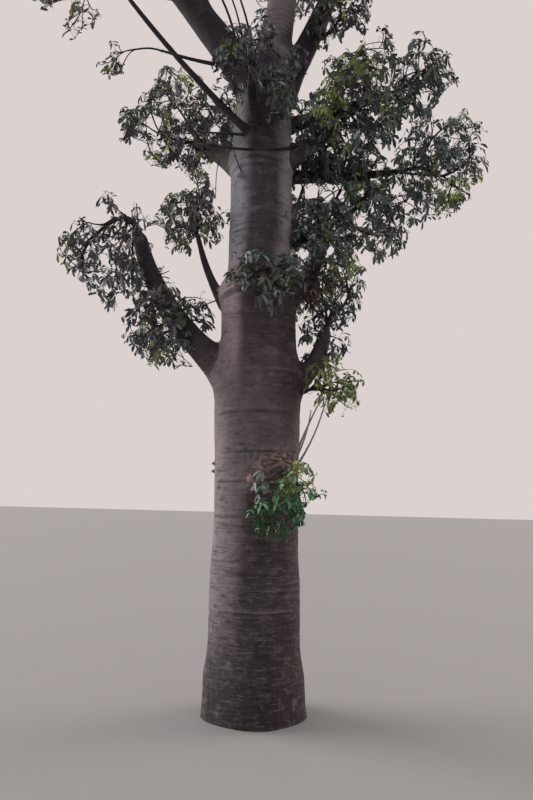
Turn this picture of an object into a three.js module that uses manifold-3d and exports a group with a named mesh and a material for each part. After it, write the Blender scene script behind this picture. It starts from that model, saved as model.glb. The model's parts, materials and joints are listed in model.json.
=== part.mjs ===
// A young baobab tree with a trunk two metres round, grown on after its boughs were once cut back.
// Millimetres, +Z up. The origin is on the ground under the trunk.
// Azimuths are in degrees: 0 is right (+X), 90 is back (+Y), 180 is left and 270 is front.
import * as THREE from 'three';
import { mergeVertices } from 'three/addons/utils/BufferGeometryUtils.js';
import Module from 'manifold-3d';

const wasm = await Module();
wasm.setup();

// Shared sizes
const CLEARANCE = 0.4; // gap kept between neighbouring solids
const TRUNK_SIDES = 16;
const TRUNK_TOP = 4950; // height of the fork
const RING_STEP = 150; // height between the rings of the trunk
const TWIG_TIP = 5.5; // radius of a twig that carries one spray
const TWIG_GROWTH = 0.42; // how fast a twig thickens with the sprays it carries
const TWIG_SIDES = 3;
const STEM_LENGTH = 34; // straight foot of each mass's stem
const SPRAY_LEAFLETS = 5;
const SPRAY_THICKNESS = 20;

// The trunk's radius at each height: root flare, slow taper, and steps above the old bough collars.
const TRUNK_PROFILE = [
  [0, 390], [60, 383], [180, 377], [300, 371], [410, 354], [560, 341], [970, 335], [1270, 316],
  [1500, 310], [1950, 315], [2300, 321], [2500, 325], [2680, 290], [2890, 280], [3120, 275],
  [3300, 240], [3640, 233], [4070, 230], [4300, 222], [4500, 206], [4720, 186], [TRUNK_TOP, 142],
];
// The line of the trunk's centre: height, then sideways and backward shift.
const TRUNK_LINE = [
  [0, 0, 0], [600, -14, 4], [1300, -22, 8], [2500, -30, 4], [3300, -38, -6], [4200, -44, 0],
  [4500, -46, 4], [TRUNK_TOP, 6, 6],
];
// Swellings on the trunk: height, azimuth, how far it stands out, how tall and how wide it is.
const SWELLINGS = [
  { name: 'low burr', height: 1790, azimuth: 300, out: 92, tall: 120, wide: 150 },
  { name: 'low burr foot', height: 1690, azimuth: 272, out: 42, tall: 80, wide: 80 },
  { name: 'left collar', height: 2530, azimuth: 180, out: 36, tall: 120, wide: 170 },
  { name: 'right collar', height: 2490, azimuth: 0, out: 38, tall: 130, wide: 130 },
  { name: 'right knob', height: 3110, azimuth: 325, out: 62, tall: 110, wide: 130 },
  { name: 'left knob', height: 3140, azimuth: 182, out: 34, tall: 90, wide: 100 },
  { name: 'front collar', height: 4230, azimuth: 256, out: 84, tall: 120, wide: 100 },
  { name: 'high right collar', height: 4180, azimuth: 350, out: 34, tall: 90, wide: 110 },
  { name: 'high left collar', height: 4160, azimuth: 155, out: 30, tall: 100, wide: 110 },
];

// The boughs. on: what it grows from; at: height on the trunk, or share of the way along a bough;
// heading: azimuth; rise: elevation at its foot; bend and sway: how much rise and heading change
// by its tip; foot and tip: radii; waist: how soon it thins; sides: of its section; side: azimuth of
// its foot on the trunk where that isn't its heading.
const BOUGHS = [
  { name: 'leader', on: 'trunk', at: TRUNK_TOP, heading: 0, rise: 80, bend: 8, sway: 0, length: 2000,
    foot: 141, tip: 34, waist: 1.5, sides: 9 },
  { name: 'left_low_bough', on: 'trunk', at: 2570, heading: 182, rise: 36, bend: 40, sway: -6, length: 1200,
    foot: 112, tip: 54, waist: 1.1, sides: 9 },
  { name: 'left_upright_bough', on: 'trunk', at: 3040, heading: 180, rise: 58, bend: 18, sway: -12,
    length: 540, foot: 40, tip: 18, waist: 1, sides: 7 },
  { name: 'left_mid_bough', on: 'trunk', at: 4150, heading: 152, rise: 30, bend: 12, sway: 4, length: 330,
    foot: 84, tip: 50, waist: 1, sides: 8 },
  { name: 'upper_left_limb', on: 'trunk', at: 4720, heading: 180, rise: 53, bend: -6, sway: -4, length: 1950,
    foot: 134, tip: 50, waist: 1.1, sides: 9 },
  { name: 'upper_left_fork', on: 'upper_left_limb', at: 0.2, heading: 200, rise: 58, bend: 12, sway: 14,
    length: 1200, foot: 46, tip: 24, waist: 1, sides: 7 },
  { name: 'upper_left_side_bough', on: 'upper_left_limb', at: 0.45, heading: 184, rise: 3, bend: -6, sway: -8,
    length: 720, foot: 20, tip: 10, waist: 1, sides: 6 },
  { name: 'upper_left_thin_bough', on: 'upper_left_limb', at: 0.1, heading: 172, rise: 10, bend: 8, sway: 6,
    length: 640, foot: 19, tip: 9, waist: 1, sides: 6 },
  { name: 'upper_right_limb', on: 'trunk', at: 4690, heading: 4, rise: 63, bend: 12, sway: 8, length: 1650,
    foot: 100, tip: 40, waist: 1.1, sides: 9 },
  { name: 'front_left_shoot', on: 'trunk', at: 4230, side: 250, heading: 194, rise: 38, bend: 12, sway: 2,
    length: 1560, foot: 26, tip: 11, waist: 1, sides: 6 },
  { name: 'front_shoot', on: 'trunk', at: 4320, heading: 256, rise: 62, bend: 34, sway: -10, length: 400,
    foot: 36, tip: 25, waist: 0.8, sides: 6 },
  { name: 'right_mid_bough', on: 'trunk', at: 4150, heading: 346, rise: 24, bend: 12, sway: 0, length: 330,
    foot: 80, tip: 42, waist: 1.1, sides: 8 },
  { name: 'right_high_bough', on: 'trunk', at: 4440, heading: 14, rise: 24, bend: 0, sway: -6, length: 900,
    foot: 58, tip: 26, waist: 1, sides: 7 },
  { name: 'right_long_bough', on: 'trunk', at: 4080, heading: 30, rise: 12, bend: -6, sway: -36, length: 880,
    foot: 52, tip: 26, waist: 1, sides: 7 },
  { name: 'right_short_bough', on: 'trunk', at: 3520, heading: 14, rise: 20, bend: 14, sway: 0, length: 260,
    foot: 50, tip: 28, waist: 1, sides: 7 },
  { name: 'right_low_bough', on: 'trunk', at: 2490, heading: 2, rise: 42, bend: 42, sway: -16, length: 420,
    foot: 76, tip: 50, waist: 1.2, sides: 8 },
  { name: 'right_knob_bough', on: 'trunk', at: 3100, heading: 330, rise: 26, bend: 16, sway: 0, length: 190,
    foot: 78, tip: 50, waist: 1, sides: 8 },
  { name: 'back_low_bough', on: 'trunk', at: 2800, heading: 78, rise: 40, bend: 14, sway: 10, length: 620,
    foot: 76, tip: 42, waist: 1, sides: 8 },
  { name: 'back_mid_bough', on: 'trunk', at: 3680, heading: 62, rise: 34, bend: 10, sway: 6, length: 560,
    foot: 66, tip: 34, waist: 1, sides: 7 },
  { name: 'back_high_bough', on: 'trunk', at: 4330, heading: 112, rise: 38, bend: 8, sway: 8, length: 620,
    foot: 66, tip: 32, waist: 1, sides: 7 },
  { name: 'top_back_bough', on: 'leader', at: 0.28, heading: 82, rise: 48, bend: 8, sway: 10, length: 820,
    foot: 52, tip: 26, waist: 1, sides: 7 },
  { name: 'top_front_bough', on: 'leader', at: 0.4, heading: 272, rise: 46, bend: 10, sway: -14, length: 760,
    foot: 48, tip: 25, waist: 1, sides: 7 },
];

// The masses of foliage. on: the limb it grows from, and at its tip unless at or from says where;
// centre and radii: the space it keeps to; sprays: how many it holds; leaf: a spray's reach;
// rise: elevation of a stem that leaves a limb's side.
const MASSES = [
  { name: 'top_foliage', on: 'leader', centre: [130, -20, 7150], radii: [480, 480, 470], sprays: 12, leaf: 245 },
  { name: 'top_left_foliage', on: 'upper_left_limb', centre: [-1500, 30, 6420], radii: [500, 480, 470],
    sprays: 11, leaf: 245 },
  { name: 'top_fork_foliage', on: 'upper_left_fork', centre: [-930, -560, 6130], radii: [420, 400, 390],
    sprays: 9, leaf: 240 },
  { name: 'top_right_foliage', on: 'upper_right_limb', centre: [860, 110, 6380], radii: [500, 460, 450],
    sprays: 11, leaf: 245 },
  { name: 'top_back_foliage', on: 'top_back_bough', centre: [90, 880, 6350], radii: [480, 430, 420],
    sprays: 10, leaf: 245 },
  { name: 'top_front_foliage', on: 'top_front_bough', centre: [130, -800, 6450], radii: [470, 420, 420],
    sprays: 10, leaf: 245 },
  { name: 'shoot_tip_foliage', on: 'front_left_shoot', centre: [-1330, -620, 5640], radii: [330, 330, 300],
    sprays: 6, leaf: 215 },
  { name: 'upper_left_foliage', on: 'left_mid_bough', centre: [-740, 150, 4440], radii: [460, 400, 490],
    sprays: 13, leaf: 235 },
  { name: 'thin_bough_foliage', on: 'upper_left_thin_bough', centre: [-1150, 130, 4950], radii: [210, 180, 190],
    sprays: 3, leaf: 155 },
  { name: 'side_bough_foliage', on: 'upper_left_side_bough', centre: [-1680, 0, 5290], radii: [380, 220, 200],
    sprays: 6, leaf: 180 },
  { name: 'left_foliage', on: 'left_upright_bough', centre: [-620, 60, 3790], radii: [360, 330, 370],
    sprays: 9, leaf: 215 },
  { name: 'left_tip_foliage', on: 'left_low_bough', centre: [-1150, -60, 3390], radii: [410, 380, 470],
    sprays: 13, leaf: 220 },
  { name: 'left_low_foliage', on: 'left_low_bough', at: 0.34, from: 235, centre: [-690, -110, 2870],
    radii: [370, 330, 370], sprays: 9, leaf: 215 },
  { name: 'fork_front_foliage', on: 'front_shoot', centre: [-120, -460, 4660], radii: [310, 270, 340],
    sprays: 8, leaf: 220 },
  { name: 'front_foliage', on: 'trunk', at: 4360, from: 288, centre: [130, -470, 4440], radii: [230, 240, 300],
    sprays: 5, leaf: 210 },
  { name: 'upper_right_foliage', on: 'upper_right_limb', at: 0.3, from: 330, centre: [500, -130, 5240],
    radii: [290, 280, 300], sprays: 7, leaf: 215 },
  { name: 'right_high_inner_foliage', on: 'right_high_bough', at: 0.55, from: 60, rise: 75, centre: [700, -20, 4880],
    radii: [310, 330, 320], sprays: 8, leaf: 230 },
  { name: 'right_high_foliage', on: 'right_high_bough', centre: [1150, 120, 4840], radii: [320, 360, 370],
    sprays: 9, leaf: 230 },
  { name: 'right_far_foliage', on: 'right_long_bough', centre: [1300, 30, 4200], radii: [390, 390, 430],
    sprays: 12, leaf: 235 },
  { name: 'right_mid_foliage', on: 'right_mid_bough', centre: [600, -140, 4370], radii: [410, 390, 400],
    sprays: 11, leaf: 235 },
  { name: 'right_inner_foliage', on: 'right_short_bough', centre: [720, 0, 3760], radii: [500, 400, 390],
    sprays: 13, leaf: 235 },
  { name: 'right_low_foliage', on: 'right_low_bough', centre: [510, -60, 3180], radii: [260, 300, 370],
    sprays: 8, leaf: 215 },
  { name: 'right_knob_foliage', on: 'right_knob_bough', centre: [440, -300, 3330], radii: [200, 200, 200],
    sprays: 4, leaf: 145 },
  { name: 'front_low_foliage', on: 'trunk', at: 3240, from: 284, centre: [20, -500, 3090], radii: [300, 240, 270],
    sprays: 6, leaf: 200 },
  { name: 'young_shoot_foliage', on: 'trunk', at: 2380, from: 346, centre: [530, -110, 2430],
    radii: [250, 240, 250], sprays: 5, leaf: 200 },
  { name: 'burr_foliage', on: 'trunk', at: 1760, from: 298, centre: [170, -540, 1580], radii: [310, 220, 320],
    sprays: 7, leaf: 200 },
  { name: 'back_low_foliage', on: 'back_low_bough', centre: [90, 860, 3480], radii: [420, 400, 400],
    sprays: 10, leaf: 235 },
  { name: 'back_mid_foliage', on: 'back_mid_bough', centre: [390, 850, 4230], radii: [430, 400, 400],
    sprays: 10, leaf: 235 },
  { name: 'back_high_foliage', on: 'back_high_bough', centre: [-360, 880, 4900], radii: [430, 400, 400],
    sprays: 10, leaf: 235 },
];

const radians = THREE.MathUtils.degToRad;

// A repeatable stream of numbers from 0 to 1.
function generator(seed) {
  let state = seed >>> 0;
  return () => {
    state = (Math.imul(state, 1664525) + 1013904223) >>> 0;
    return state / 4294967296;
  };
}

function direction(azimuth, elevation) {
  const level = Math.cos(radians(elevation));
  return new THREE.Vector3(
    level * Math.cos(radians(azimuth)), level * Math.sin(radians(azimuth)), Math.sin(radians(elevation)));
}

// A smooth curve through the rows of a table, read at key.
function along(rows, column, key) {
  const last = rows.length - 1;
  let i = 0;
  while (i < last - 1 && key > rows[i + 1][0]) i += 1;
  const slope = (k) => {
    const a = rows[Math.max(0, k - 1)];
    const b = rows[Math.min(last, k + 1)];
    return (b[column] - a[column]) / (b[0] - a[0]);
  };
  const span = rows[i + 1][0] - rows[i][0];
  const t = THREE.MathUtils.clamp((key - rows[i][0]) / span, 0, 1);
  const t2 = t * t;
  const t3 = t2 * t;
  return (2 * t3 - 3 * t2 + 1) * rows[i][column] + (t3 - 2 * t2 + t) * span * slope(i)
    + (3 * t2 - 2 * t3) * rows[i + 1][column] + (t3 - t2) * span * slope(i + 1);
}

function trunkCentre(height) {
  return new THREE.Vector3(along(TRUNK_LINE, 1, height), along(TRUNK_LINE, 2, height), height);
}

// The trunk's radius at a height and an azimuth in radians, with its shallow flutes and swellings.
function trunkRadius(height, angle) {
  const round = along(TRUNK_PROFILE, 1, height);
  const flute = Math.exp(-height / 500);
  let radius = round * (1 + 0.012 * Math.sin(3 * angle + height / 700) + 0.022 * flute * Math.cos(5 * angle + 1));
  for (const s of SWELLINGS) {
    const turn = Math.atan2(Math.sin(angle - radians(s.azimuth)), Math.cos(angle - radians(s.azimuth)));
    const rise = (height - s.height) / s.tall;
    const side = (turn * round) / s.wide;
    radius += s.out * Math.exp(-rise * rise - side * side);
  }
  return radius;
}

function trunkSurface(height, azimuth) {
  const out = direction(azimuth, 0).multiplyScalar(trunkRadius(height, radians(azimuth)));
  return trunkCentre(height).add(out);
}

// A closed tube through rings, each with a centre, two cross directions and a radius for each angle.
function tube(rings, sides) {
  const unit = new THREE.CylinderGeometry(1, 1, 1, sides, rings.length - 1);
  const position = unit.getAttribute('position');
  for (let i = 0; i < position.count; i += 1) {
    const level = Math.round((position.getY(i) + 0.5) * (rings.length - 1));
    const ring = rings[level];
    const x = position.getX(i);
    const y = -position.getZ(i);
    const reach = Math.hypot(x, y) < 0.5 ? 0 : ring.radius(Math.atan2(y, x));
    const point = ring.centre.clone()
      .addScaledVector(ring.across, x * reach)
      .addScaledVector(ring.up, y * reach);
    position.setXYZ(i, point.x, point.y, point.z);
  }
  return unit;
}

// The rings of a tube round a line of points, turned as little as possible from one to the next.
function ringsOn(points, radii, firstWay, lastWay) {
  const ways = points.map((p, i) => points[Math.min(i + 1, points.length - 1)].clone()
    .sub(points[Math.max(i - 1, 0)]).normalize());
  if (firstWay) ways[0].copy(firstWay);
  if (lastWay) ways[ways.length - 1].copy(lastWay);
  const side = Math.abs(ways[0].z) > 0.9 ? new THREE.Vector3(1, 0, 0) : new THREE.Vector3(0, 0, 1);
  let across = side.cross(ways[0]).normalize();
  return points.map((centre, i) => {
    across = across.clone().addScaledVector(ways[i], -across.dot(ways[i])).normalize();
    const up = ways[i].clone().cross(across);
    return { centre, across, up, radius: () => radii[i] };
  });
}

// A solid from a geometry, and a geometry from a solid.
function toSolid(geometry) {
  const bare = geometry.clone();
  bare.deleteAttribute('normal');
  bare.deleteAttribute('uv');
  const merged = mergeVertices(bare, 1e-4);
  const solid = new wasm.Manifold(new wasm.Mesh({
    numProp: 3,
    vertProperties: new Float32Array(merged.getAttribute('position').array),
    triVerts: new Uint32Array(merged.index.array),
  }));
  return solid;
}

function toGeometry({ vertices, triangles }) {
  const geometry = new THREE.BufferGeometry();
  geometry.setAttribute('position', new THREE.BufferAttribute(new Float32Array(vertices), 3));
  geometry.setIndex(triangles);
  geometry.computeVertexNormals();
  return geometry;
}

// The largest closed body of a solid: loose scraps are dropped and sealed hollows filled.
function mainBody(solid) {
  const { vertProperties: xyz, triVerts: corners, numVert } = solid.getMesh();
  const group = Array.from({ length: numVert }, (_, i) => i);
  const root = (i) => {
    while (group[i] !== i) {
      group[i] = group[group[i]];
      i = group[i];
    }
    return i;
  };
  for (let t = 0; t < corners.length; t += 3) {
    group[root(corners[t + 1])] = root(corners[t]);
    group[root(corners[t + 2])] = root(corners[t]);
  }
  const volumes = new Map();
  const corner = (i) => new THREE.Vector3(xyz[3 * i], xyz[3 * i + 1], xyz[3 * i + 2]);
  for (let t = 0; t < corners.length; t += 3) {
    const body = root(corners[t]);
    const cross = corner(corners[t + 1]).cross(corner(corners[t + 2]));
    volumes.set(body, (volumes.get(body) ?? 0) + corner(corners[t]).dot(cross));
  }
  const largest = [...volumes.keys()].reduce((a, b) => (volumes.get(b) > volumes.get(a) ? b : a));
  const kept = [];
  for (let t = 0; t < corners.length; t += 3) {
    if (root(corners[t]) === largest) kept.push(corners[t], corners[t + 1], corners[t + 2]);
  }
  return { vertices: xyz, triangles: kept };
}

// The trunk, grown outward by extra where it serves to cut its neighbours.
function trunkSolid(extra) {
  const heights = [];
  const count = Math.round(TRUNK_TOP / RING_STEP);
  for (let i = 0; i <= count; i += 1) heights.push((TRUNK_TOP * i) / count);
  if (extra) heights[count] += extra;
  const rings = heights.map((height) => ({
    centre: trunkCentre(height),
    across: new THREE.Vector3(1, 0, 0),
    up: new THREE.Vector3(0, 1, 0),
    radius: (angle) => trunkRadius(Math.min(height, TRUNK_TOP), angle) + extra,
  }));
  return toSolid(tube(rings, TRUNK_SIDES));
}

// The line and radii of a bough, from its driving sizes.
const BOUGH_STEP = 190;
const COLLAR_LENGTH = 70;

function boughLine(bough, limbs) {
  let start;
  if (bough.on !== 'trunk') start = pointOn(limbs.get(bough.on), bough.at).centre;
  else if (bough.at === TRUNK_TOP) start = trunkCentre(TRUNK_TOP).add(new THREE.Vector3(0, 0, CLEARANCE));
  else {
    const side = bough.side ?? bough.heading;
    start = trunkSurface(bough.at, side).addScaledVector(direction(side, 0), -0.7 * bough.foot);
  }
  const count = Math.max(3, Math.round(bough.length / BOUGH_STEP));
  const step = bough.length / count;
  const points = [start];
  const radii = [];
  for (let i = 0; i <= count; i += 1) {
    const t = i / count;
    const collar = bough.on === 'trunk' && bough.at === TRUNK_TOP ? 0 : 0.22 * bough.foot;
    radii.push(bough.tip + (bough.foot - bough.tip) * (1 - t) ** bough.waist
      + collar * Math.exp(-(((t * bough.length) / COLLAR_LENGTH) ** 2)));
    if (i < count) {
      const middle = (i + 0.5) / count;
      const way = direction(bough.heading + bough.sway * middle, bough.rise + bough.bend * middle);
      points.push(points[i].clone().addScaledVector(way, step));
    }
  }
  const foot = bough.at === TRUNK_TOP ? new THREE.Vector3(0, 0, 1) : null;
  return { name: bough.name, points, radii, sides: bough.sides, foot };
}

// The centre, direction and radius at a share of the way along a limb.
function pointOn(limb, share) {
  const place = share * (limb.points.length - 1);
  const i = Math.min(Math.floor(place), limb.points.length - 2);
  const t = place - i;
  return {
    centre: limb.points[i].clone().lerp(limb.points[i + 1], t),
    way: limb.points[i + 1].clone().sub(limb.points[i]).normalize(),
    radius: limb.radii[i] + (limb.radii[i + 1] - limb.radii[i]) * t,
  };
}

function boughSolid(limb, extra) {
  const radii = limb.radii.map((r) => r + extra);
  return toSolid(tube(ringsOn(limb.points, radii, limb.foot), limb.sides));
}

// The point of a segment nearest to another point, as a share of the way along it.
function nearestShare(point, from, to) {
  const edge = to.clone().sub(from);
  return THREE.MathUtils.clamp(point.clone().sub(from).dot(edge) / edge.lengthSq(), 0, 1);
}

// How far a point is from the surface of the nearest limb, leaving one limb out.
function limbGap(point, limbs, leftOut) {
  const centre = trunkCentre(THREE.MathUtils.clamp(point.z, 0, TRUNK_TOP));
  const dx = point.x - centre.x;
  const dy = point.y - centre.y;
  let gap = Math.hypot(dx, dy, Math.max(0, point.z - TRUNK_TOP)) - trunkRadius(centre.z, Math.atan2(dy, dx));
  for (const limb of limbs.values()) {
    if (limb === leftOut) continue;
    for (let i = 0; i + 1 < limb.points.length; i += 1) {
      const t = nearestShare(point, limb.points[i], limb.points[i + 1]);
      const radius = limb.radii[i] + (limb.radii[i + 1] - limb.radii[i]) * t;
      const distance = point.distanceTo(limb.points[i].clone().lerp(limb.points[i + 1], t));
      gap = Math.min(gap, distance - radius);
    }
  }
  return gap;
}

// How deep in its space a point is: below 1 inside the mass's own ellipsoid, and how far it is from
// what belongs to the other masses. Where two ellipsoids cross, a point goes to the one whose
// centre is nearer in terms of its radii.
const REACH = 1.1; // how far leaves stand out of their ellipsoid, as a share of its radii

function placeIn(point, mass) {
  const measure = (m) => {
    const offset = m.radii.map((r, k) => (point.getComponent(k) - m.centre[k]) / r);
    return { depth: Math.hypot(...offset), slope: offset.map((o, k) => (2 * o) / m.radii[k]) };
  };
  const own = measure(mass);
  let margin = Infinity;
  for (const other of MASSES) {
    if (other === mass) continue;
    const theirs = measure(other);
    const steepness = Math.hypot(...theirs.slope.map((s, k) => s - own.slope[k]));
    const border = (theirs.depth ** 2 - own.depth ** 2) / steepness;
    const outside = (theirs.depth - REACH) * Math.min(...other.radii);
    margin = Math.min(margin, Math.max(border, outside));
  }
  return { depth: own.depth, margin };
}

const BORDER = 30; // how far twigs and leaf ribs stay from the border of their space
const LIMB_CLEARANCE = 34; // and from the side of any limb
const SAMPLE_STEP = 45;

// Whether a straight run from one point to another keeps to its mass's space, clear of the limbs.
function runIsClear(from, to, mass, limbs, home) {
  const count = Math.max(1, Math.ceil(from.distanceTo(to) / SAMPLE_STEP));
  for (let i = 1; i <= count; i += 1) {
    const point = from.clone().lerp(to, i / count);
    if (placeIn(point, mass).margin < BORDER) return false;
    const nearHome = home && point.distanceTo(home.at) < 3 * STEM_LENGTH;
    if (limbGap(point, limbs, nearHome ? home.limb : null) < (nearHome ? 0 : LIMB_CLEARANCE)) return false;
  }
  return true;
}

// Where a mass's stem starts, and which way it leaves: on from the limb's tip, or out of its side.
const STEM_RISE = 20;
const TRUNK_SINK = 45; // how deep a stem's foot starts in the trunk before it is cut to the surface
const BOUGH_SINK = 0.6; // and in a bough, as a share of the bough's radius

function stemFoot(mass, limbs) {
  const limb = limbs.get(mass.on);
  if (mass.from === undefined) {
    const tip = pointOn(limb, 1);
    return { at: tip.centre.addScaledVector(tip.way, CLEARANCE), way: tip.way, limb, sink: 0 };
  }
  const way = direction(mass.from, mass.rise ?? STEM_RISE);
  if (!limb) return { at: trunkSurface(mass.at, mass.from), way, sink: TRUNK_SINK };
  const place = pointOn(limb, mass.at);
  way.addScaledVector(place.way, -way.dot(place.way)).normalize();
  return { at: place.centre.addScaledVector(way, place.radius), way, limb, sink: BOUGH_SINK * place.radius };
}

// The spots where a mass's sprays sit: seeded, evenly apart, in its space and clear of the limbs.
const INSET = 0.42; // how far in from the ellipsoid, as a share of a spray's reach
const OUTWARD = -0.4; // below 0 moves the spots outward
const SPACING = 1.2;
const TRIES = 60;

function scatter(mass, limbs, random) {
  const spots = [];
  const room = mass.radii.map((r) => r - INSET * mass.leaf);
  const apart = SPACING * Math.cbrt((room[0] * room[1] * room[2]) / mass.sprays);
  for (let tries = 0; tries < TRIES * mass.sprays && spots.length < mass.sprays; tries += 1) {
    const ball = [2 * random() - 1, 2 * random() - 1, 2 * random() - 1];
    const length = Math.hypot(...ball);
    if (length > 1) continue;
    const spread = length ** OUTWARD;
    const spot = new THREE.Vector3(...ball.map((b, k) => mass.centre[k] + room[k] * b * spread));
    if (spots.some((s) => s.distanceTo(spot) < apart)) continue;
    if (placeIn(spot, mass).margin < 2 * BORDER) continue;
    if (limbGap(spot, limbs, null) < 0.3 * mass.leaf) continue;
    spots.push(spot);
  }
  return spots;
}

// A spray is a hand of drooping leaflets round a hub. It leans with the twig that carries it: a
// rising twig meets it from below, a falling one from above, always between two leaflets.
const RISING_LEAN = 40; // how far a spray may lean away from a rising twig
const FALLING_LEAN = 65; // and from a falling one
const DROOP_RANGE = [22, 50];
const SIZE_RANGE = [0.88, 1.12];
const JITTER = 0.3;
const LEAST_LEAFLETS = 3;
const TWIG_GAP = 32; // between a leaflet's rib and the lower half of its own twig

function growSpray(mass, limbs, foot, elbow, hub, random) {
  const back = elbow.clone().sub(hub).normalize();
  const rising = back.z < 0;
  const lean = new THREE.Vector3(0, 0, 1);
  const pole = rising ? back.clone().negate() : back.clone();
  const allowed = radians(rising ? RISING_LEAN : FALLING_LEAN);
  const tilt = pole.angleTo(lean);
  if (tilt > allowed) lean.applyAxisAngle(lean.clone().cross(pole).normalize(), tilt - allowed);
  const east = back.clone().addScaledVector(lean, -back.dot(lean));
  if (east.length() < 0.01) east.set(1, 0, 0).addScaledVector(lean, -lean.x);
  east.normalize();
  const north = lean.clone().cross(east);
  const size = mass.leaf * THREE.MathUtils.lerp(...SIZE_RANGE, random());
  const leaflets = [];
  for (let k = 0; k < SPRAY_LEAFLETS; k += 1) {
    const angle = (2 * Math.PI * (k + 0.5 + JITTER * (random() - 0.5))) / SPRAY_LEAFLETS;
    const droop = radians(THREE.MathUtils.lerp(...DROOP_RANGE, random()));
    const reach = size * Math.cos(droop);
    const drop = size * Math.sin(droop);
    const tip = hub.clone().addScaledVector(east, reach * Math.cos(angle))
      .addScaledVector(north, reach * Math.sin(angle)).addScaledVector(lean, -drop);
    if (placeIn(tip, mass).depth > REACH - 0.04) continue;
    const touches = [0.25, 0.5, 0.75, 1].some((share) => {
      const rib = hub.clone().lerp(tip, share);
      return rib.distanceTo(foot.clone().lerp(elbow, nearestShare(rib, foot, elbow))) < TWIG_GAP;
    });
    if (!touches && runIsClear(hub, tip, mass, limbs, null)) leaflets.push({ angle, reach, drop });
  }
  return { hub, back, rising, lean, east, north, leaflets };
}

// Grows a mass's twigs. Each spot is reached from the joint that gives a short, gently turning way:
// the end of the stem, or the elbow of an earlier twig.
const WAY_BACK_COST = 0.3;
const TURN_COST = 0.7;
const ELBOW_SHIFT = 0.16;
const JOIN_TRIES = 5;
const JOIN_BEFORE = 0.15; // how far before the elbow the next twig leaves, as a share of the way to it

function growTwigs(mass, limbs) {
  const random = generator(mass.seed);
  const home = stemFoot(mass, limbs);
  const first = home.at.clone().addScaledVector(home.way, STEM_LENGTH);
  const joints = [{ at: first, way: home.way, path: 0, from: null, load: 0 }];
  const spots = scatter(mass, limbs, random);
  spots.sort((a, b) => a.distanceTo(first) - b.distanceTo(first));
  for (const spot of spots) {
    const choices = joints.map((joint) => {
      const gone = spot.distanceTo(joint.at);
      const turn = 1 - spot.clone().sub(joint.at).dot(joint.way) / gone;
      return { joint, gone, cost: gone * (1 + TURN_COST * turn) + WAY_BACK_COST * joint.path };
    });
    choices.sort((a, b) => a.cost - b.cost);
    for (const { joint, gone } of choices.slice(0, JOIN_TRIES)) {
      const elbow = joint.at.clone().lerp(spot, 0.5).addScaledVector(joint.way, ELBOW_SHIFT * gone);
      if (!runIsClear(joint.at, elbow, mass, limbs, home)) continue;
      if (!runIsClear(elbow, spot, mass, limbs, home)) continue;
      const spray = growSpray(mass, limbs, joint.at, elbow, spot, random);
      if (spray.leaflets.length < LEAST_LEAFLETS) continue;
      const at = elbow.clone().lerp(joint.at, JOIN_BEFORE);
      const way = spot.clone().sub(elbow).normalize();
      joints.push({ at, elbow, way, path: joint.path + 0.5 * gone, from: joint, load: 1, spray });
      break;
    }
  }
  for (let i = joints.length - 1; i > 0; i -= 1) joints[i].from.load += joints[i].load;
  return { home, joints };
}

function twigRadius(load) {
  return TWIG_TIP * load ** TWIG_GROWTH;
}

// A closed body from its corners and faces.
function bodyOf(vertices, faces) {
  const geometry = new THREE.BufferGeometry();
  geometry.setAttribute('position', new THREE.Float32BufferAttribute(vertices.flatMap((v) => v.toArray()), 3));
  geometry.setIndex(faces);
  return toSolid(geometry);
}

// The corners of a three-sided ring.
function corners({ centre, across, up, radius }) {
  return [0, 1, 2].map((k) => {
    const angle = (2 * Math.PI * k) / TWIG_SIDES;
    return centre.clone().addScaledVector(across, radius() * Math.cos(angle))
      .addScaledVector(up, radius() * Math.sin(angle));
  });
}

// One twig with its spray: a three-sided tube that opens into a thin star, ridged above and below.
const VALLEY = 0.3; // how far out the leaflets part, as a share of their reach
const NECK = 14; // how far before the hub the tube ends
const ROOT_SHARE = 0.45; // how much thinner a twig's sunk root is than what it grows from

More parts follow.
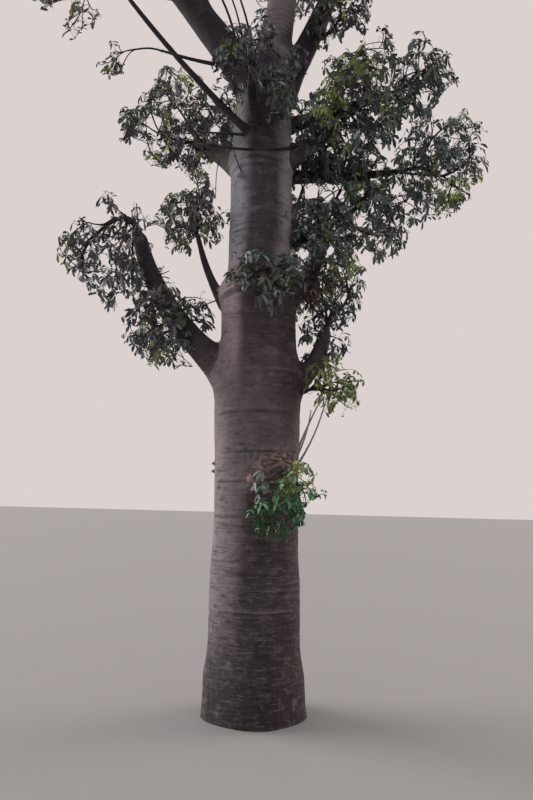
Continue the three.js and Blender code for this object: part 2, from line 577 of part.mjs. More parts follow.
function twigSolid(joint) {
  const { hub, back, rising, lean, east, north, leaflets } = joint.spray;
  const low = twigRadius(joint.load);
  const root = Math.min(low, ROOT_SHARE * twigRadius(joint.from.load));
  const neck = hub.clone().addScaledVector(back, NECK);
  const rings = ringsOn([joint.from.at, joint.elbow, neck], [root, low, TWIG_TIP]).map(corners);
  const vertices = rings.flat();
  const faces = [0, 2, 1];
  for (let r = 0; r + 1 < rings.length; r += 1) {
    for (let k = 0; k < TWIG_SIDES; k += 1) {
      const a = TWIG_SIDES * r + k;
      const b = TWIG_SIDES * r + ((k + 1) % TWIG_SIDES);
      faces.push(a, b, b + TWIG_SIDES, a, b + TWIG_SIDES, a + TWIG_SIDES);
    }
  }
  // The star's outline, in order round the side that the tube comes from
  const outline = leaflets.flatMap((leaflet, k) => {
    const next = leaflets[(k + 1) % leaflets.length];
    const gap = (next.angle - leaflet.angle + 4 * Math.PI) % (2 * Math.PI);
    const valley = VALLEY * Math.min(leaflet.reach, next.reach);
    return [leaflet, { angle: leaflet.angle + 0.5 * gap, reach: valley, drop: 0.25 * valley }];
  });
  if (rising) outline.reverse();
  const place = ({ angle, reach, drop }) => hub.clone().addScaledVector(east, reach * Math.cos(angle))
    .addScaledVector(north, reach * Math.sin(angle)).addScaledVector(lean, -drop);
  const firstPoint = vertices.length;
  outline.forEach((point) => vertices.push(place(point)));
  const far = vertices.length;
  vertices.push(hub.clone().addScaledVector(lean, (rising ? 0.5 : -0.5) * SPRAY_THICKNESS));
  const side = rising ? -1 : 1;
  const turnOf = (v) => side * Math.atan2(v.clone().sub(neck).dot(north), v.clone().sub(neck).dot(east));
  const full = 2 * Math.PI;
  const ring = [0, 1, 2].map((k) => TWIG_SIDES * (rings.length - 1) + k);
  const seam = turnOf(vertices[ring[0]]);
  const after = (index) => (turnOf(vertices[index]) - seam + 2 * full) % full;
  const loop = outline.map((_, k) => firstPoint + k).sort((a, b) => after(a) - after(b));
  const inner = [...ring].sort((a, b) => after(a) - after(b));
  let i = 0;
  let k = -1;
  while (i < inner.length || k < loop.length - 1) {
    const here = inner[i % inner.length];
    const edge = loop[(k + loop.length) % loop.length];
    const innerNext = i + 1 < inner.length ? after(inner[i + 1]) : full;
    if (k + 1 < loop.length && after(loop[k + 1]) <= innerNext) {
      faces.push(here, edge, loop[k + 1]);
      k += 1;
    } else {
      faces.push(here, edge, inner[(i + 1) % inner.length]);
      i += 1;
    }
  }
  loop.forEach((a, m) => faces.push(far, loop[(m + 1) % loop.length], a));
  return bodyOf(vertices, faces);
}

function massSolid(mass, limbs, cutters) {
  const { home, joints } = growTwigs(mass, limbs);
  const stem = twigRadius(joints[0].load);
  const end = joints[0].at.clone().addScaledVector(home.way, 0.5 * stem);
  const start = home.at.clone().addScaledVector(home.way, -home.sink);
  const foot = toSolid(tube(ringsOn([start, end], [1.15 * stem, stem]), TWIG_SIDES));
  let solid = joints.slice(1).reduce((whole, joint) => whole.add(twigSolid(joint)), foot);
  if (home.sink) solid = solid.subtract(cutters.get(mass.on));
  return mainBody(solid);
}

// Materials
const bark = new THREE.MeshStandardMaterial({ color: 0x6e6461, roughness: 0.85, metalness: 0, flatShading: true });
const youngBark = new THREE.MeshStandardMaterial({ color: 0x5d564b, roughness: 0.8, metalness: 0, flatShading: true });
const leafGreen = new THREE.MeshStandardMaterial({ color: 0x2f4a2a, roughness: 0.6, metalness: 0, flatShading: true });
const youngGreen = new THREE.MeshStandardMaterial({ color: 0x6d8c35, roughness: 0.6, metalness: 0, flatShading: true });

const tree = new THREE.Group();

function addPart(name, solid, material) {
  const mesh = new THREE.Mesh(toGeometry(solid), material);
  mesh.name = name;
  tree.add(mesh);
}

// The limbs: the trunk, then each bough cut clear of every limb made before it.
const limbs = new Map();
const cutters = new Map([['trunk', trunkSolid(CLEARANCE)]]);
addPart('trunk', mainBody(trunkSolid(0)), bark);
for (const bough of BOUGHS) {
  const limb = boughLine(bough, limbs);
  let solid = boughSolid(limb, 0);
  for (const cutter of cutters.values()) solid = solid.subtract(cutter);
  limbs.set(bough.name, limb);
  cutters.set(bough.name, boughSolid(limb, CLEARANCE));
  addPart(bough.name, mainBody(solid), bough.foot > 40 ? bark : youngBark);
}

// The masses of foliage, each from its own seed.
MASSES.forEach((mass, index) => {
  mass.seed = 101 + 37 * index;
});
for (const mass of MASSES) {
  const material = mass.name === 'young_shoot_foliage' ? youngGreen : leafGreen;
  addPart(mass.name, massSolid(mass, limbs, cutters), material);
}

export default tree;
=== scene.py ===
"""Looks of a young baobab tree: bark relief on trunk and boughs, fine twigs and hand-shaped leaves.

Growth is worked out in millimetres, as in the tree's construction, and meshes are made in metres.
Azimuths are in degrees: 0 is right (+X), 90 is back (+Y), 180 is left and 270 is front.
"""
import json
import math
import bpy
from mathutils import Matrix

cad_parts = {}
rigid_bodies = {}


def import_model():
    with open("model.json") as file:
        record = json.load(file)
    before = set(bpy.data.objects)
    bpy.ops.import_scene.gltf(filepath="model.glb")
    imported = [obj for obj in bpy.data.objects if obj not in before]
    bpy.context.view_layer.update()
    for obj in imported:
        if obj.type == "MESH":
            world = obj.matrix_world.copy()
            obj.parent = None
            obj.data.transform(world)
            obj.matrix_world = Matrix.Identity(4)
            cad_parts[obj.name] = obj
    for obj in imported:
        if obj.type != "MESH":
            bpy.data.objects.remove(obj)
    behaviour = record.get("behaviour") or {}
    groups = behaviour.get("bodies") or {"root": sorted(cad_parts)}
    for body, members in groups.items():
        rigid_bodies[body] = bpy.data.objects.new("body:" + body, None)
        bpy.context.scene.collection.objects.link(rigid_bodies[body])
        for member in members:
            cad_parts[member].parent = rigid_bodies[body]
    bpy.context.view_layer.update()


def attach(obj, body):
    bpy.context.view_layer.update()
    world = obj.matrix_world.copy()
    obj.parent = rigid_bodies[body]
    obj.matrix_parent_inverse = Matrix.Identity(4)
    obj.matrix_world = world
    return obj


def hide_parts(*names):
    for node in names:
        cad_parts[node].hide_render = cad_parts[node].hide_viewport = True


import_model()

from types import SimpleNamespace

import bmesh
import bpy
import numpy as np
from mathutils import Matrix, Vector

MM = 0.001
BODY = "root"

# Driving sizes of the limbs, the same as in the construction
CLEARANCE = 0.4
TRUNK_TOP = 4950
STEM_LENGTH = 34
BOUGH_STEP = 190
FOOT_SUNK = 0.7  # of its radius, how deep a bough starts in the trunk
COLLAR_OUT = 0.22  # of its radius, how much wider its foot is
COLLAR_LENGTH = 70

# Height and radius
TRUNK_PROFILE = np.array([
    (0, 390), (60, 383), (180, 377), (300, 371), (410, 354), (560, 341), (970, 335), (1270, 316),
    (1500, 310), (1950, 315), (2300, 321), (2500, 325), (2680, 290), (2890, 280), (3120, 275),
    (3300, 240), (3640, 233), (4070, 230), (4300, 222), (4500, 206), (4720, 186), (TRUNK_TOP, 142),
], dtype=float)
# Height, sideways and backward shift of the centre
TRUNK_LINE = np.array([
    (0, 0, 0), (600, -14, 4), (1300, -22, 8), (2500, -30, 4), (3300, -38, -6), (4200, -44, 0),
    (4500, -46, 4), (TRUNK_TOP, 6, 6),
], dtype=float)
# Height, azimuth, out, tall and wide of each swelling
SWELLINGS = [
    (1790, 300, 92, 120, 150), (1690, 272, 42, 80, 80), (2530, 180, 36, 120, 170),
    (2490, 0, 38, 130, 130), (3110, 325, 62, 110, 130), (3140, 182, 34, 90, 100),
    (4230, 256, 84, 120, 100), (4180, 350, 34, 90, 110), (4160, 155, 30, 100, 110),
]


def records(fields, rows, **usual):
    """One record for each row, with the usual values for what a row leaves out."""
    return [SimpleNamespace(**{**usual, **dict(zip(fields.split(), row))}) for row in rows]


def limb_records(rows):
    """Limbs: at is a height on the trunk, or a share of the way along the limb named by on.

    Waist is how fast a limb thins, and side the azimuth of its foot where that isn't its heading.
    """
    fields = "name on at heading rise bend sway length foot tip waist side"
    return records(fields, rows, waist=1, side=None)


BOUGHS = limb_records([
    ("leader", "trunk", TRUNK_TOP, 0, 80, 8, 0, 2000, 141, 34, 1.5),
    ("left_low_bough", "trunk", 2570, 182, 36, 40, -6, 1200, 112, 54, 1.1),
    ("left_upright_bough", "trunk", 3040, 180, 58, 18, -12, 540, 40, 18),
    ("left_mid_bough", "trunk", 4150, 152, 30, 12, 4, 330, 84, 50),
    ("upper_left_limb", "trunk", 4720, 180, 53, -6, -4, 1950, 134, 50, 1.1),
    ("upper_left_fork", "upper_left_limb", 0.2, 200, 58, 12, 14, 1200, 46, 24),
    ("upper_left_side_bough", "upper_left_limb", 0.45, 184, 3, -6, -8, 720, 20, 10),
    ("upper_left_thin_bough", "upper_left_limb", 0.1, 172, 10, 8, 6, 640, 19, 9),
    ("upper_right_limb", "trunk", 4690, 4, 63, 12, 8, 1650, 100, 40, 1.1),
    ("front_left_shoot", "trunk", 4230, 194, 38, 12, 2, 1560, 26, 11, 1, 250),
    ("front_shoot", "trunk", 4320, 256, 62, 34, -10, 400, 36, 25, 0.8),
    ("right_mid_bough", "trunk", 4150, 346, 24, 12, 0, 330, 80, 42, 1.1),
    ("right_high_bough", "trunk", 4440, 14, 24, 0, -6, 900, 58, 26),
    ("right_long_bough", "trunk", 4080, 30, 12, -6, -36, 880, 52, 26),
    ("right_short_bough", "trunk", 3520, 14, 20, 14, 0, 260, 50, 28),
    ("right_low_bough", "trunk", 2490, 2, 42, 42, -16, 420, 76, 50, 1.2),
    ("right_knob_bough", "trunk", 3100, 330, 26, 16, 0, 190, 78, 50),
    ("back_low_bough", "trunk", 2800, 78, 40, 14, 10, 620, 76, 42),
    ("back_mid_bough", "trunk", 3680, 62, 34, 10, 6, 560, 66, 34),
    ("back_high_bough", "trunk", 4330, 112, 38, 8, 8, 620, 66, 32),
    ("top_back_bough", "leader", 0.28, 82, 48, 8, 10, 820, 52, 26),
    ("top_front_bough", "leader", 0.4, 272, 46, 10, -14, 760, 48, 25),
])

# Masses of foliage: a stem grows on from the tip of the limb named by on, or it leaves that limb at a
# share of its length, where leave is the stem's azimuth and rise its elevation
MASSES = records("name on centre radii sprays leaf at leave rise", [
    ("top_foliage", "leader", (130, -20, 7150), (480, 480, 470), 12, 245),
    ("top_left_foliage", "upper_left_limb", (-1500, 30, 6420), (500, 480, 470), 11, 245),
    ("top_fork_foliage", "upper_left_fork", (-930, -560, 6130), (420, 400, 390), 9, 240),
    ("top_right_foliage", "upper_right_limb", (860, 110, 6380), (500, 460, 450), 11, 245),
    ("top_back_foliage", "top_back_bough", (90, 880, 6350), (480, 430, 420), 10, 245),
    ("top_front_foliage", "top_front_bough", (130, -800, 6450), (470, 420, 420), 10, 245),
    ("shoot_tip_foliage", "front_left_shoot", (-1330, -620, 5640), (330, 330, 300), 6, 215),
    ("upper_left_foliage", "left_mid_bough", (-740, 150, 4440), (460, 400, 490), 13, 235),
    ("thin_bough_foliage", "upper_left_thin_bough", (-1150, 130, 4950), (210, 180, 190), 3, 155),
    ("side_bough_foliage", "upper_left_side_bough", (-1680, 0, 5290), (380, 220, 200), 6, 180),
    ("left_foliage", "left_upright_bough", (-620, 60, 3790), (360, 330, 370), 9, 215),
    ("left_tip_foliage", "left_low_bough", (-1150, -60, 3390), (410, 380, 470), 13, 220),
    ("left_low_foliage", "left_low_bough", (-690, -110, 2870), (370, 330, 370), 9, 215, 0.34, 235),
    ("fork_front_foliage", "front_shoot", (-120, -460, 4660), (310, 270, 340), 8, 220),
    ("front_foliage", "trunk", (130, -470, 4440), (230, 240, 300), 5, 210, 4360, 288),
    ("upper_right_foliage", "upper_right_limb", (500, -130, 5240), (290, 280, 300), 7, 215, 0.3, 330),
    ("right_high_inner_foliage", "right_high_bough", (700, -20, 4880), (310, 330, 320), 8, 230,
     0.55, 60, 75),
    ("right_high_foliage", "right_high_bough", (1150, 120, 4840), (320, 360, 370), 9, 230),
    ("right_far_foliage", "right_long_bough", (1300, 30, 4200), (390, 390, 430), 12, 235),
    ("right_mid_foliage", "right_mid_bough", (600, -140, 4370), (410, 390, 400), 11, 235),
    ("right_inner_foliage", "right_short_bough", (720, 0, 3760), (500, 400, 390), 13, 235),
    ("right_low_foliage", "right_low_bough", (510, -60, 3180), (260, 300, 370), 8, 215),
    ("right_knob_foliage", "right_knob_bough", (440, -300, 3330), (200, 200, 200), 4, 145),
    ("front_low_foliage", "trunk", (20, -500, 3090), (300, 240, 270), 6, 200, 3240, 284),
    ("young_shoot_foliage", "trunk", (530, -110, 2430), (250, 240, 250), 5, 200, 2380, 346),
    ("burr_foliage", "trunk", (170, -540, 1580), (310, 220, 320), 7, 200, 1760, 298),
    ("back_low_foliage", "back_low_bough", (90, 860, 3480), (420, 400, 400), 10, 235),
    ("back_mid_foliage", "back_mid_bough", (390, 850, 4230), (430, 400, 400), 10, 235),
    ("back_high_foliage", "back_high_bough", (-360, 880, 4900), (430, 400, 400), 10, 235),
], at=1, leave=None, rise=20)
CENTRES = np.array([m.centre for m in MASSES], dtype=float)
RADII = np.array([m.radii for m in MASSES], dtype=float)

# The photograph's camera: focal length and principal point in its pixels, pitch, roll and place
PHOTO_WIDTH = 533
PHOTO_HEIGHT = 800
FOCAL = 703
CENTRE_ROW = 474
PITCH = math.radians(2.12)
ROLL = math.radians(1.5)
CAMERA_PLACE = (0.052, -5.25, 1.58)

# Ways of sight with nothing but sky behind them: column, row and radius in the photograph
SKY_GAPS = [
    (308, 80, 10), (303, 93, 6), (300, 189, 6), (312, 191, 7), (326, 191, 7), (339, 192, 6),
    (303, 254, 5), (153, 126, 8), (125, 92, 15), (128, 167, 17), (152, 182, 17), (174, 180, 11),
    (188, 186, 6), (166, 101, 4), (206, 113, 4), (180, 118, 3), (190, 140, 4), (140, 145, 5),
    (215, 130, 4), (190, 283, 15), (205, 272, 12), (174, 272, 10), (100, 222, 9), (82, 204, 12),
    (125, 204, 9), (149, 203, 10), (155, 236, 9), (161, 256, 9), (70, 292, 15), (90, 310, 13),
    (62, 215, 12), (105, 262, 4), (148, 172, 11), (222, 174, 13), (225, 202, 8), (225, 264, 7),
    (180, 264, 8), (197, 245, 6), (208, 345, 9), (140, 50, 12), (141, 80, 12), (131, 70, 7),
    (102, 49, 8), (103, 85, 8), (18, 22, 22), (48, 27, 14), (62, 10, 7), (232, 8, 14), (250, 2, 8),
    (214, 98, 7), (223, 84, 4), (352, 45, 7), (372, 41, 9), (352, 38, 8), (335, 49, 7), (402, 42, 8),
    (452, 103, 12), (439, 112, 7), (425, 99, 4), (484, 196, 12), (471, 213, 10), (408, 72, 5),
    (420, 62, 4), (432, 128, 4), (455, 140, 4), (372, 176, 5), (395, 190, 4), (410, 205, 5),
    (362, 222, 4), (385, 152, 4), (445, 175, 4), (350, 120, 3), (365, 258, 6), (330, 250, 4),
    (345, 300, 4), (340, 410, 6), (350, 365, 6), (310, 400, 5), (362, 395, 6),
]
# Ways of sight that end at bark
BARK_GAPS = [
    (257, 104, 7), (280, 18, 10), (279, 42, 5), (258, 121, 5), (230, 302, 13), (246, 308, 11),
    (262, 242, 9), (286, 240, 9), (240, 242, 9), (292, 306, 10), (252, 292, 5), (275, 465, 13),
    (260, 456, 12), (292, 450, 10), (243, 496, 10), (241, 520, 5), (320, 515, 15), (312, 540, 14),
    (326, 478, 9), (240, 542, 9), (256, 548, 7), (296, 545, 8), (303, 498, 5),
]
# Limbs that show before the leaves: from and to a share of the way along, and how much wider
SHOWN_LIMBS = [
    ("left_low_bough", 0.7, 0.93, -30), ("front_shoot", 0.0, 0.5, 0), ("upper_left_limb", 0.3, 0.7, -10),
    ("front_left_shoot", 0.0, 1.0, 2), ("left_upright_bough", 0.0, 0.5, 0),
    ("left_mid_bough", 0.25, 0.9, -26), ("upper_left_thin_bough", 0.5, 1.0, 2),
]


# Small tools

def unit(vectors):
    return vectors / np.maximum(np.linalg.norm(vectors, axis=-1, keepdims=True), 1e-9)


def lengths(vectors):
    return np.linalg.norm(vectors, axis=-1)


def dot(a, b):
    return (a * b).sum(axis=-1)


def bell(values, width):
    return np.exp(-(values / width) ** 2)


def curve_weights(t):
    """How much the start, the way out, the end and the way in of a smooth curve count at t."""
    t2 = t * t
    t3 = t2 * t
    return 2 * t3 - 3 * t2 + 1, t3 - 2 * t2 + t, 3 * t2 - 2 * t3, t3 - t2


def generator(seed):
    """A repeatable stream of numbers from 0 to 1, the same as in the construction."""
    state = seed

    def draw():
        nonlocal state
        state = (state * 1664525 + 1013904223) % 4294967296
        return state / 4294967296
    return draw


def direction(azimuth, elevation):
    a = math.radians(azimuth)
    e = math.radians(elevation)
    return np.array([math.cos(e) * math.cos(a), math.cos(e) * math.sin(a), math.sin(e)])


def along(rows, column, key):
    """A smooth curve through the rows of a table, read at key."""
    keys = rows[:, 0]
    values = rows[:, column]
    last = len(rows) - 1
    before = np.maximum(np.arange(last + 1) - 1, 0)
    after = np.minimum(np.arange(last + 1) + 1, last)
    slopes = (values[after] - values[before]) / (keys[after] - keys[before])
    i = np.clip(np.searchsorted(keys, key, side="left") - 1, 0, last - 1)
    span = keys[i + 1] - keys[i]
    start, leave, end, arrive = curve_weights(np.clip((key - keys[i]) / span, 0, 1))
    return (start * values[i] + leave * span * slopes[i]
            + end * values[i + 1] + arrive * span * slopes[i + 1])


def trunk_centre(height):
    height = np.asarray(height, dtype=float)
    return np.stack([along(TRUNK_LINE, 1, height), along(TRUNK_LINE, 2, height), height], axis=-1)


ROUND_WAVE = 0.012  # of the radius, how uneven the trunk is all the way up
WAVE_TURN = 700  # the height over which that turns by a radian
FLUTES = 0.022  # the same for the flutes at its foot
FLUTE_FADE = 500


def trunk_radius(height, angle):
    """The trunk's radius at a height and an azimuth in radians."""
    round_part = along(TRUNK_PROFILE, 1, height)
    flute = np.exp(-height / FLUTE_FADE)
    radius = round_part * (1 + ROUND_WAVE * np.sin(3 * angle + height / WAVE_TURN)
                           + FLUTES * flute * np.cos(5 * angle + 1))
    for level, azimuth, out, tall, wide in SWELLINGS:
        turned = angle - math.radians(azimuth)
        turn = np.arctan2(np.sin(turned), np.cos(turned))
        radius = radius + out * np.exp(-((height - level) / tall) ** 2 - (turn * round_part / wide) ** 2)
    return radius


def trunk_surface(height, azimuth):
    reach = trunk_radius(height, math.radians(azimuth))
    return trunk_centre(height) + direction(azimuth, 0) * reach


def hashed(cells, seed):
    """A repeatable number for each cell of a lattice."""
    x, y, z = cells.T
    mixed = ((x * 73856093) ^ (y * 19349663) ^ (z * 83492791) ^ (seed * 2654435)) & 0xFFFFFFFF
    mixed = ((mixed ^ (mixed >> 13)) * 1274126177) & 0xFFFFFFFF
    return mixed ^ (mixed >> 16)


def noise(points, seed):
    """Smooth noise from about -1 to 1."""
    cells = np.floor(points).astype(np.int64)
    part = points - cells
    fade = part ** 3 * (part * (part * 6 - 15) + 10)
    total = np.zeros(len(points))
    for corner in np.ndindex(2, 2, 2):
        number = hashed(cells + corner, seed)
        slope = np.column_stack([(number >> shift) & 1023 for shift in (0, 10, 20)]) / 511.5 - 1
        weight = np.where(corner, fade, 1 - fade).prod(axis=1)
        total += weight * dot(slope, part - corner)
    return 1.5 * total


# Limbs

def point_at(points, share):
    """The point at a share of the way along a line, its direction, its stretch and the share of that."""
    last = len(points) - 1
    place = share * last
    i = min(int(place), last - 1)
    step = points[i + 1] - points[i]
    return points[i] + step * (place - i), unit(step), i, place - i


def point_on(limb, share):
    """The centre, direction and radius at a share of the way along a limb."""
    centre, way, i, part = point_at(limb.points, share)
    return centre, way, limb.radii[i] + (limb.radii[i + 1] - limb.radii[i]) * part


LIMBS = {}


def bough_line(bough):
    """The line and radii of a bough, from its driving sizes."""
    on_top = bough.on == "trunk" and bough.at == TRUNK_TOP
    if bough.on != "trunk":
        start = point_on(LIMBS[bough.on], bough.at)[0]
    elif on_top:
        start = trunk_centre(TRUNK_TOP) + np.array([0, 0, CLEARANCE])
    else:
        side = bough.heading if bough.side is None else bough.side
        start = trunk_surface(bough.at, side) - FOOT_SUNK * bough.foot * direction(side, 0)
    count = max(3, int(bough.length / BOUGH_STEP + 0.5))
    points = [start]
    for i in range(count):
        middle = (i + 0.5) / count
        way = direction(bough.heading + bough.sway * middle, bough.rise + bough.bend * middle)
        points.append(points[i] + way * bough.length / count)
    t = np.arange(count + 1) / count
    collar = 0 if on_top else COLLAR_OUT * bough.foot
    radii = (bough.tip + (bough.foot - bough.tip) * (1 - t) ** bough.waist
             + collar * bell(t * bough.length, COLLAR_LENGTH))
    return SimpleNamespace(name=bough.name, points=np.array(points), radii=radii)


for bough in BOUGHS:
    LIMBS[bough.name] = bough_line(bough)

# All the stretches of the limbs, side by side, for measuring distances
STRETCH_FROM = np.concatenate([limb.points[:-1] for limb in LIMBS.values()])
STRETCH_EDGE = np.concatenate([np.diff(limb.points, axis=0) for limb in LIMBS.values()])
STRETCH_RADIUS = np.concatenate([limb.radii[:-1] for limb in LIMBS.values()])
STRETCH_CHANGE = np.concatenate([np.diff(limb.radii) for limb in LIMBS.values()])
STRETCH_LIMB = np.concatenate([[name] * (len(limb.points) - 1) for name, limb in LIMBS.items()])
STRETCH_LENGTH2 = dot(STRETCH_EDGE, STRETCH_EDGE)


def limb_gap(points, left_out=None):
    """How far points are from the surface of the nearest limb, leaving one limb out."""
    level = np.clip(points[:, 2], 0, TRUNK_TOP)
    offset = points - trunk_centre(level)
    angle = np.arctan2(offset[:, 1], offset[:, 0])
    trunk = lengths(offset) - trunk_radius(level, angle)
    away = points[:, None, :] - STRETCH_FROM
    share = np.clip(dot(away, STRETCH_EDGE) / STRETCH_LENGTH2, 0, 1)
    away = away - share[..., None] * STRETCH_EDGE
    gaps = np.sqrt(dot(away, away)) - (STRETCH_RADIUS + STRETCH_CHANGE * share)
    if left_out is not None:
        gaps[:, STRETCH_LIMB == left_out] = np.inf
    return np.minimum(trunk, gaps.min(axis=1))


# Gaps in the crown

VIEWPOINT = np.array(CAMERA_PLACE) * 1000
SKY_DEPTH = 1400
BARK_DEPTH = -120
PLACES_ON_LIMB = 14
RAGGED = 16  # how uneven the edges of the open ways are
RAGGED_SIZE = 55
RAGGED_SEED = 61
HOLE_SIZE = 6.8  # in the photograph's pixels
HOLE_DEPTH = 900
HOLE_SEED = 62
HOLE_LEAST = -0.29
DENSE_HOLE_LEAST = -0.27
DENSE_MASSES = {
    "upper_right_foliage", "right_high_inner_foliage", "right_mid_foliage", "right_inner_foliage",
    "right_knob_foliage", "fork_front_foliage", "front_foliage",
}
CLUMP_SIZE = 200
CLUMP_SEED = 43
CLUMP_LEAST = -0.24


def sight(column, row, depth):
    """The point at a depth behind the trunk's axis that shows at a place in the photograph."""
    across = column - PHOTO_WIDTH / 2
    down = row - CENTRE_ROW
    right = across * math.cos(ROLL) + down * math.sin(ROLL)
    up = across * math.sin(ROLL) - down * math.cos(ROLL)
    ahead = FOCAL * math.cos(PITCH) - up * math.sin(PITCH)
    rise = FOCAL * math.sin(PITCH) + up * math.cos(PITCH)
    gone = (depth - VIEWPOINT[1]) / ahead
    return VIEWPOINT + np.array([right, ahead, rise]) * gone


def gap_cones():
    """Where each way of sight ends and how wide it is there."""
    ends = []
    widths = []
    for rows, depth in ((SKY_GAPS, SKY_DEPTH), (BARK_GAPS, BARK_DEPTH)):
        for column, row, radius in rows:
            ends.append(sight(column, row, depth))
            widths.append(radius * (depth - VIEWPOINT[1]) / FOCAL)
    for name, first, last, wider in SHOWN_LIMBS:
        for share in np.linspace(first, last, PLACES_ON_LIMB):
            centre, _, radius = point_on(LIMBS[name], share)
            ends.append(centre)
            widths.append(radius + wider)
    return np.array(ends), np.array(widths)


GAP_ENDS, GAP_WIDTHS = gap_cones()
GAP_EDGES = GAP_ENDS - VIEWPOINT
GAP_LENGTHS2 = dot(GAP_EDGES, GAP_EDGES)


def gap_room(points):
    """How far points are outside every way of sight that is kept open."""
    away = points - VIEWPOINT
    share = away @ GAP_EDGES.T / GAP_LENGTHS2
    reach2 = dot(away, away)[:, None] - share ** 2 * GAP_LENGTHS2
    room = np.sqrt(np.maximum(reach2, 0)) - share * GAP_WIDTHS
    room[share > 1] = np.inf
    return room.min(axis=1) + RAGGED * noise(points / RAGGED_SIZE, RAGGED_SEED)


def in_hole(points, owners):
    """Whether points lie in one of the small holes that show sky all over the crown."""
    away = points - VIEWPOINT
    seen = FOCAL * away[:, [0, 2]] / away[:, 1:2]
    place = np.column_stack([seen / HOLE_SIZE, points[:, 1] / HOLE_DEPTH])
    least = np.array([DENSE_HOLE_LEAST if mass.name in DENSE_MASSES else HOLE_LEAST for mass in MASSES])
    return noise(place, HOLE_SEED) < least[owners]


def in_clump(points):
    """Whether points lie in the clumps that finer twigs gather in."""
    return noise(points / CLUMP_SIZE, CLUMP_SEED) > CLUMP_LEAST


# Growth, by the construction's rule

FIRST_SEED = 101
SEED_STEP = 37
REACH = 1.1
BORDER = 30
LIMB_CLEARANCE = 34
FREE_LENGTH = 3 * STEM_LENGTH  # how far from its foot a stem's own limb may be near
SAMPLE_STEP = 45
INSET = 0.42
OUTWARD = -0.4
SPACING = 1.2
SPACING_FROM_OTHERS = 0.7  # of the spacing
LEAF_ROOM_SHARE = 0.3  # of a leaf's length, how far spots are from limbs
TRIES = 60
SPRAY_LEAFLETS = 5
RISING_LEAN = math.radians(40)
FALLING_LEAN = math.radians(65)
DROOP_RANGE = (22, 50)
SIZE_RANGE = (0.88, 1.12)
JITTER = 0.3
LEAFLET_REACH = REACH - 0.04
LEAST_LEAFLETS = 3
TWIG_GAP = 32
WAY_BACK_COST = 0.3
TURN_COST = 0.7
ELBOW_SHIFT = 0.16
JOIN_TRIES = 5
JOIN_BEFORE = 0.15
# Finer twigs grow by the same rule from the elbows and outer halves of the first ones
FINE_TWIGS = 3.4  # finer twigs for each spray of the construction
FINE_LEAF = 110
FINE_ROOM = 12  # how far outside the open ways they end
OUTER_JOIN = 0.5


def place_in(points, index):
    """How deep in its mass's space each point is, and how far from what belongs to other masses."""
    offset = (points[:, None, :] - CENTRES) / RADII
    depth = lengths(offset)
    slope = 2 * offset / RADII
    steepness = lengths(slope - slope[:, index:index + 1])
    steepness[:, index] = 1
    border = (depth ** 2 - depth[:, index:index + 1] ** 2) / steepness
    margin = np.maximum(border, (depth - REACH) * RADII.min(axis=1))
    margin[:, index] = np.inf
    return depth[:, index], margin.min(axis=1)


def run_is_clear(start, end, index, home):
    """Whether a straight run keeps to its mass's space, clear of the limbs."""
    count = max(1, math.ceil(np.linalg.norm(end - start) / SAMPLE_STEP))
    points = start + (end - start) * (np.arange(1, count + 1) / count)[:, None]
    if (place_in(points, index)[1] < BORDER).any():
        return False
    near = np.zeros(count, dtype=bool)
    if home:
        near = lengths(points - home.at) < FREE_LENGTH
    if (~near).any() and (limb_gap(points[~near]) < LIMB_CLEARANCE).any():
        return False
    return not (near.any() and (limb_gap(points[near], home.limb) < 0).any())


def stem_foot(mass):
    """Where a mass's stem starts, and which way it leaves."""
    if mass.leave is None:
        centre, way, _ = point_on(LIMBS[mass.on], 1)
        return SimpleNamespace(at=centre + way * CLEARANCE, way=way, limb=mass.on)
    way = direction(mass.leave, mass.rise)
    if mass.on == "trunk":
        return SimpleNamespace(at=trunk_surface(mass.at, mass.leave), way=way, limb=None)
    centre, limb_way, radius = point_on(LIMBS[mass.on], mass.at)
    way = unit(way - limb_way * dot(way, limb_way))
    return SimpleNamespace(at=centre + way * radius, way=way, limb=mass.on)


def scatter(mass, index, count, leaf, draw, taken, suits):
    """Seeded spots, evenly apart, in a mass's space, clear of the limbs and where it suits."""
    room = np.array(mass.radii) - INSET * leaf
    apart = SPACING * np.cbrt(room.prod() / count)
    spots = []
    for _ in range(TRIES * count):
        if len(spots) == count:
            break
        ball = np.array([2 * draw() - 1, 2 * draw() - 1, 2 * draw() - 1])
        length = math.hypot(*ball)
        if length > 1:
            continue
        spot = np.array(mass.centre) + room * ball * length ** OUTWARD
        if any(math.dist(s, spot) < apart for s in spots):
            continue
        if any(math.dist(s, spot) < SPACING_FROM_OTHERS * apart for s in taken) or not suits(spot):
            continue
        if place_in(spot[None], index)[1][0] < 2 * BORDER:
            continue
        if limb_gap(spot[None])[0] >= LEAF_ROOM_SHARE * leaf:
            spots.append(spot)
    return spots


def turned(vector, axis, angle):
    """A vector turned round a unit axis."""
    return (vector * math.cos(angle) + np.cross(axis, vector) * math.sin(angle)
            + axis * dot(axis, vector) * (1 - math.cos(angle)))


def between(ends, share):
    return ends[0] + (ends[1] - ends[0]) * share


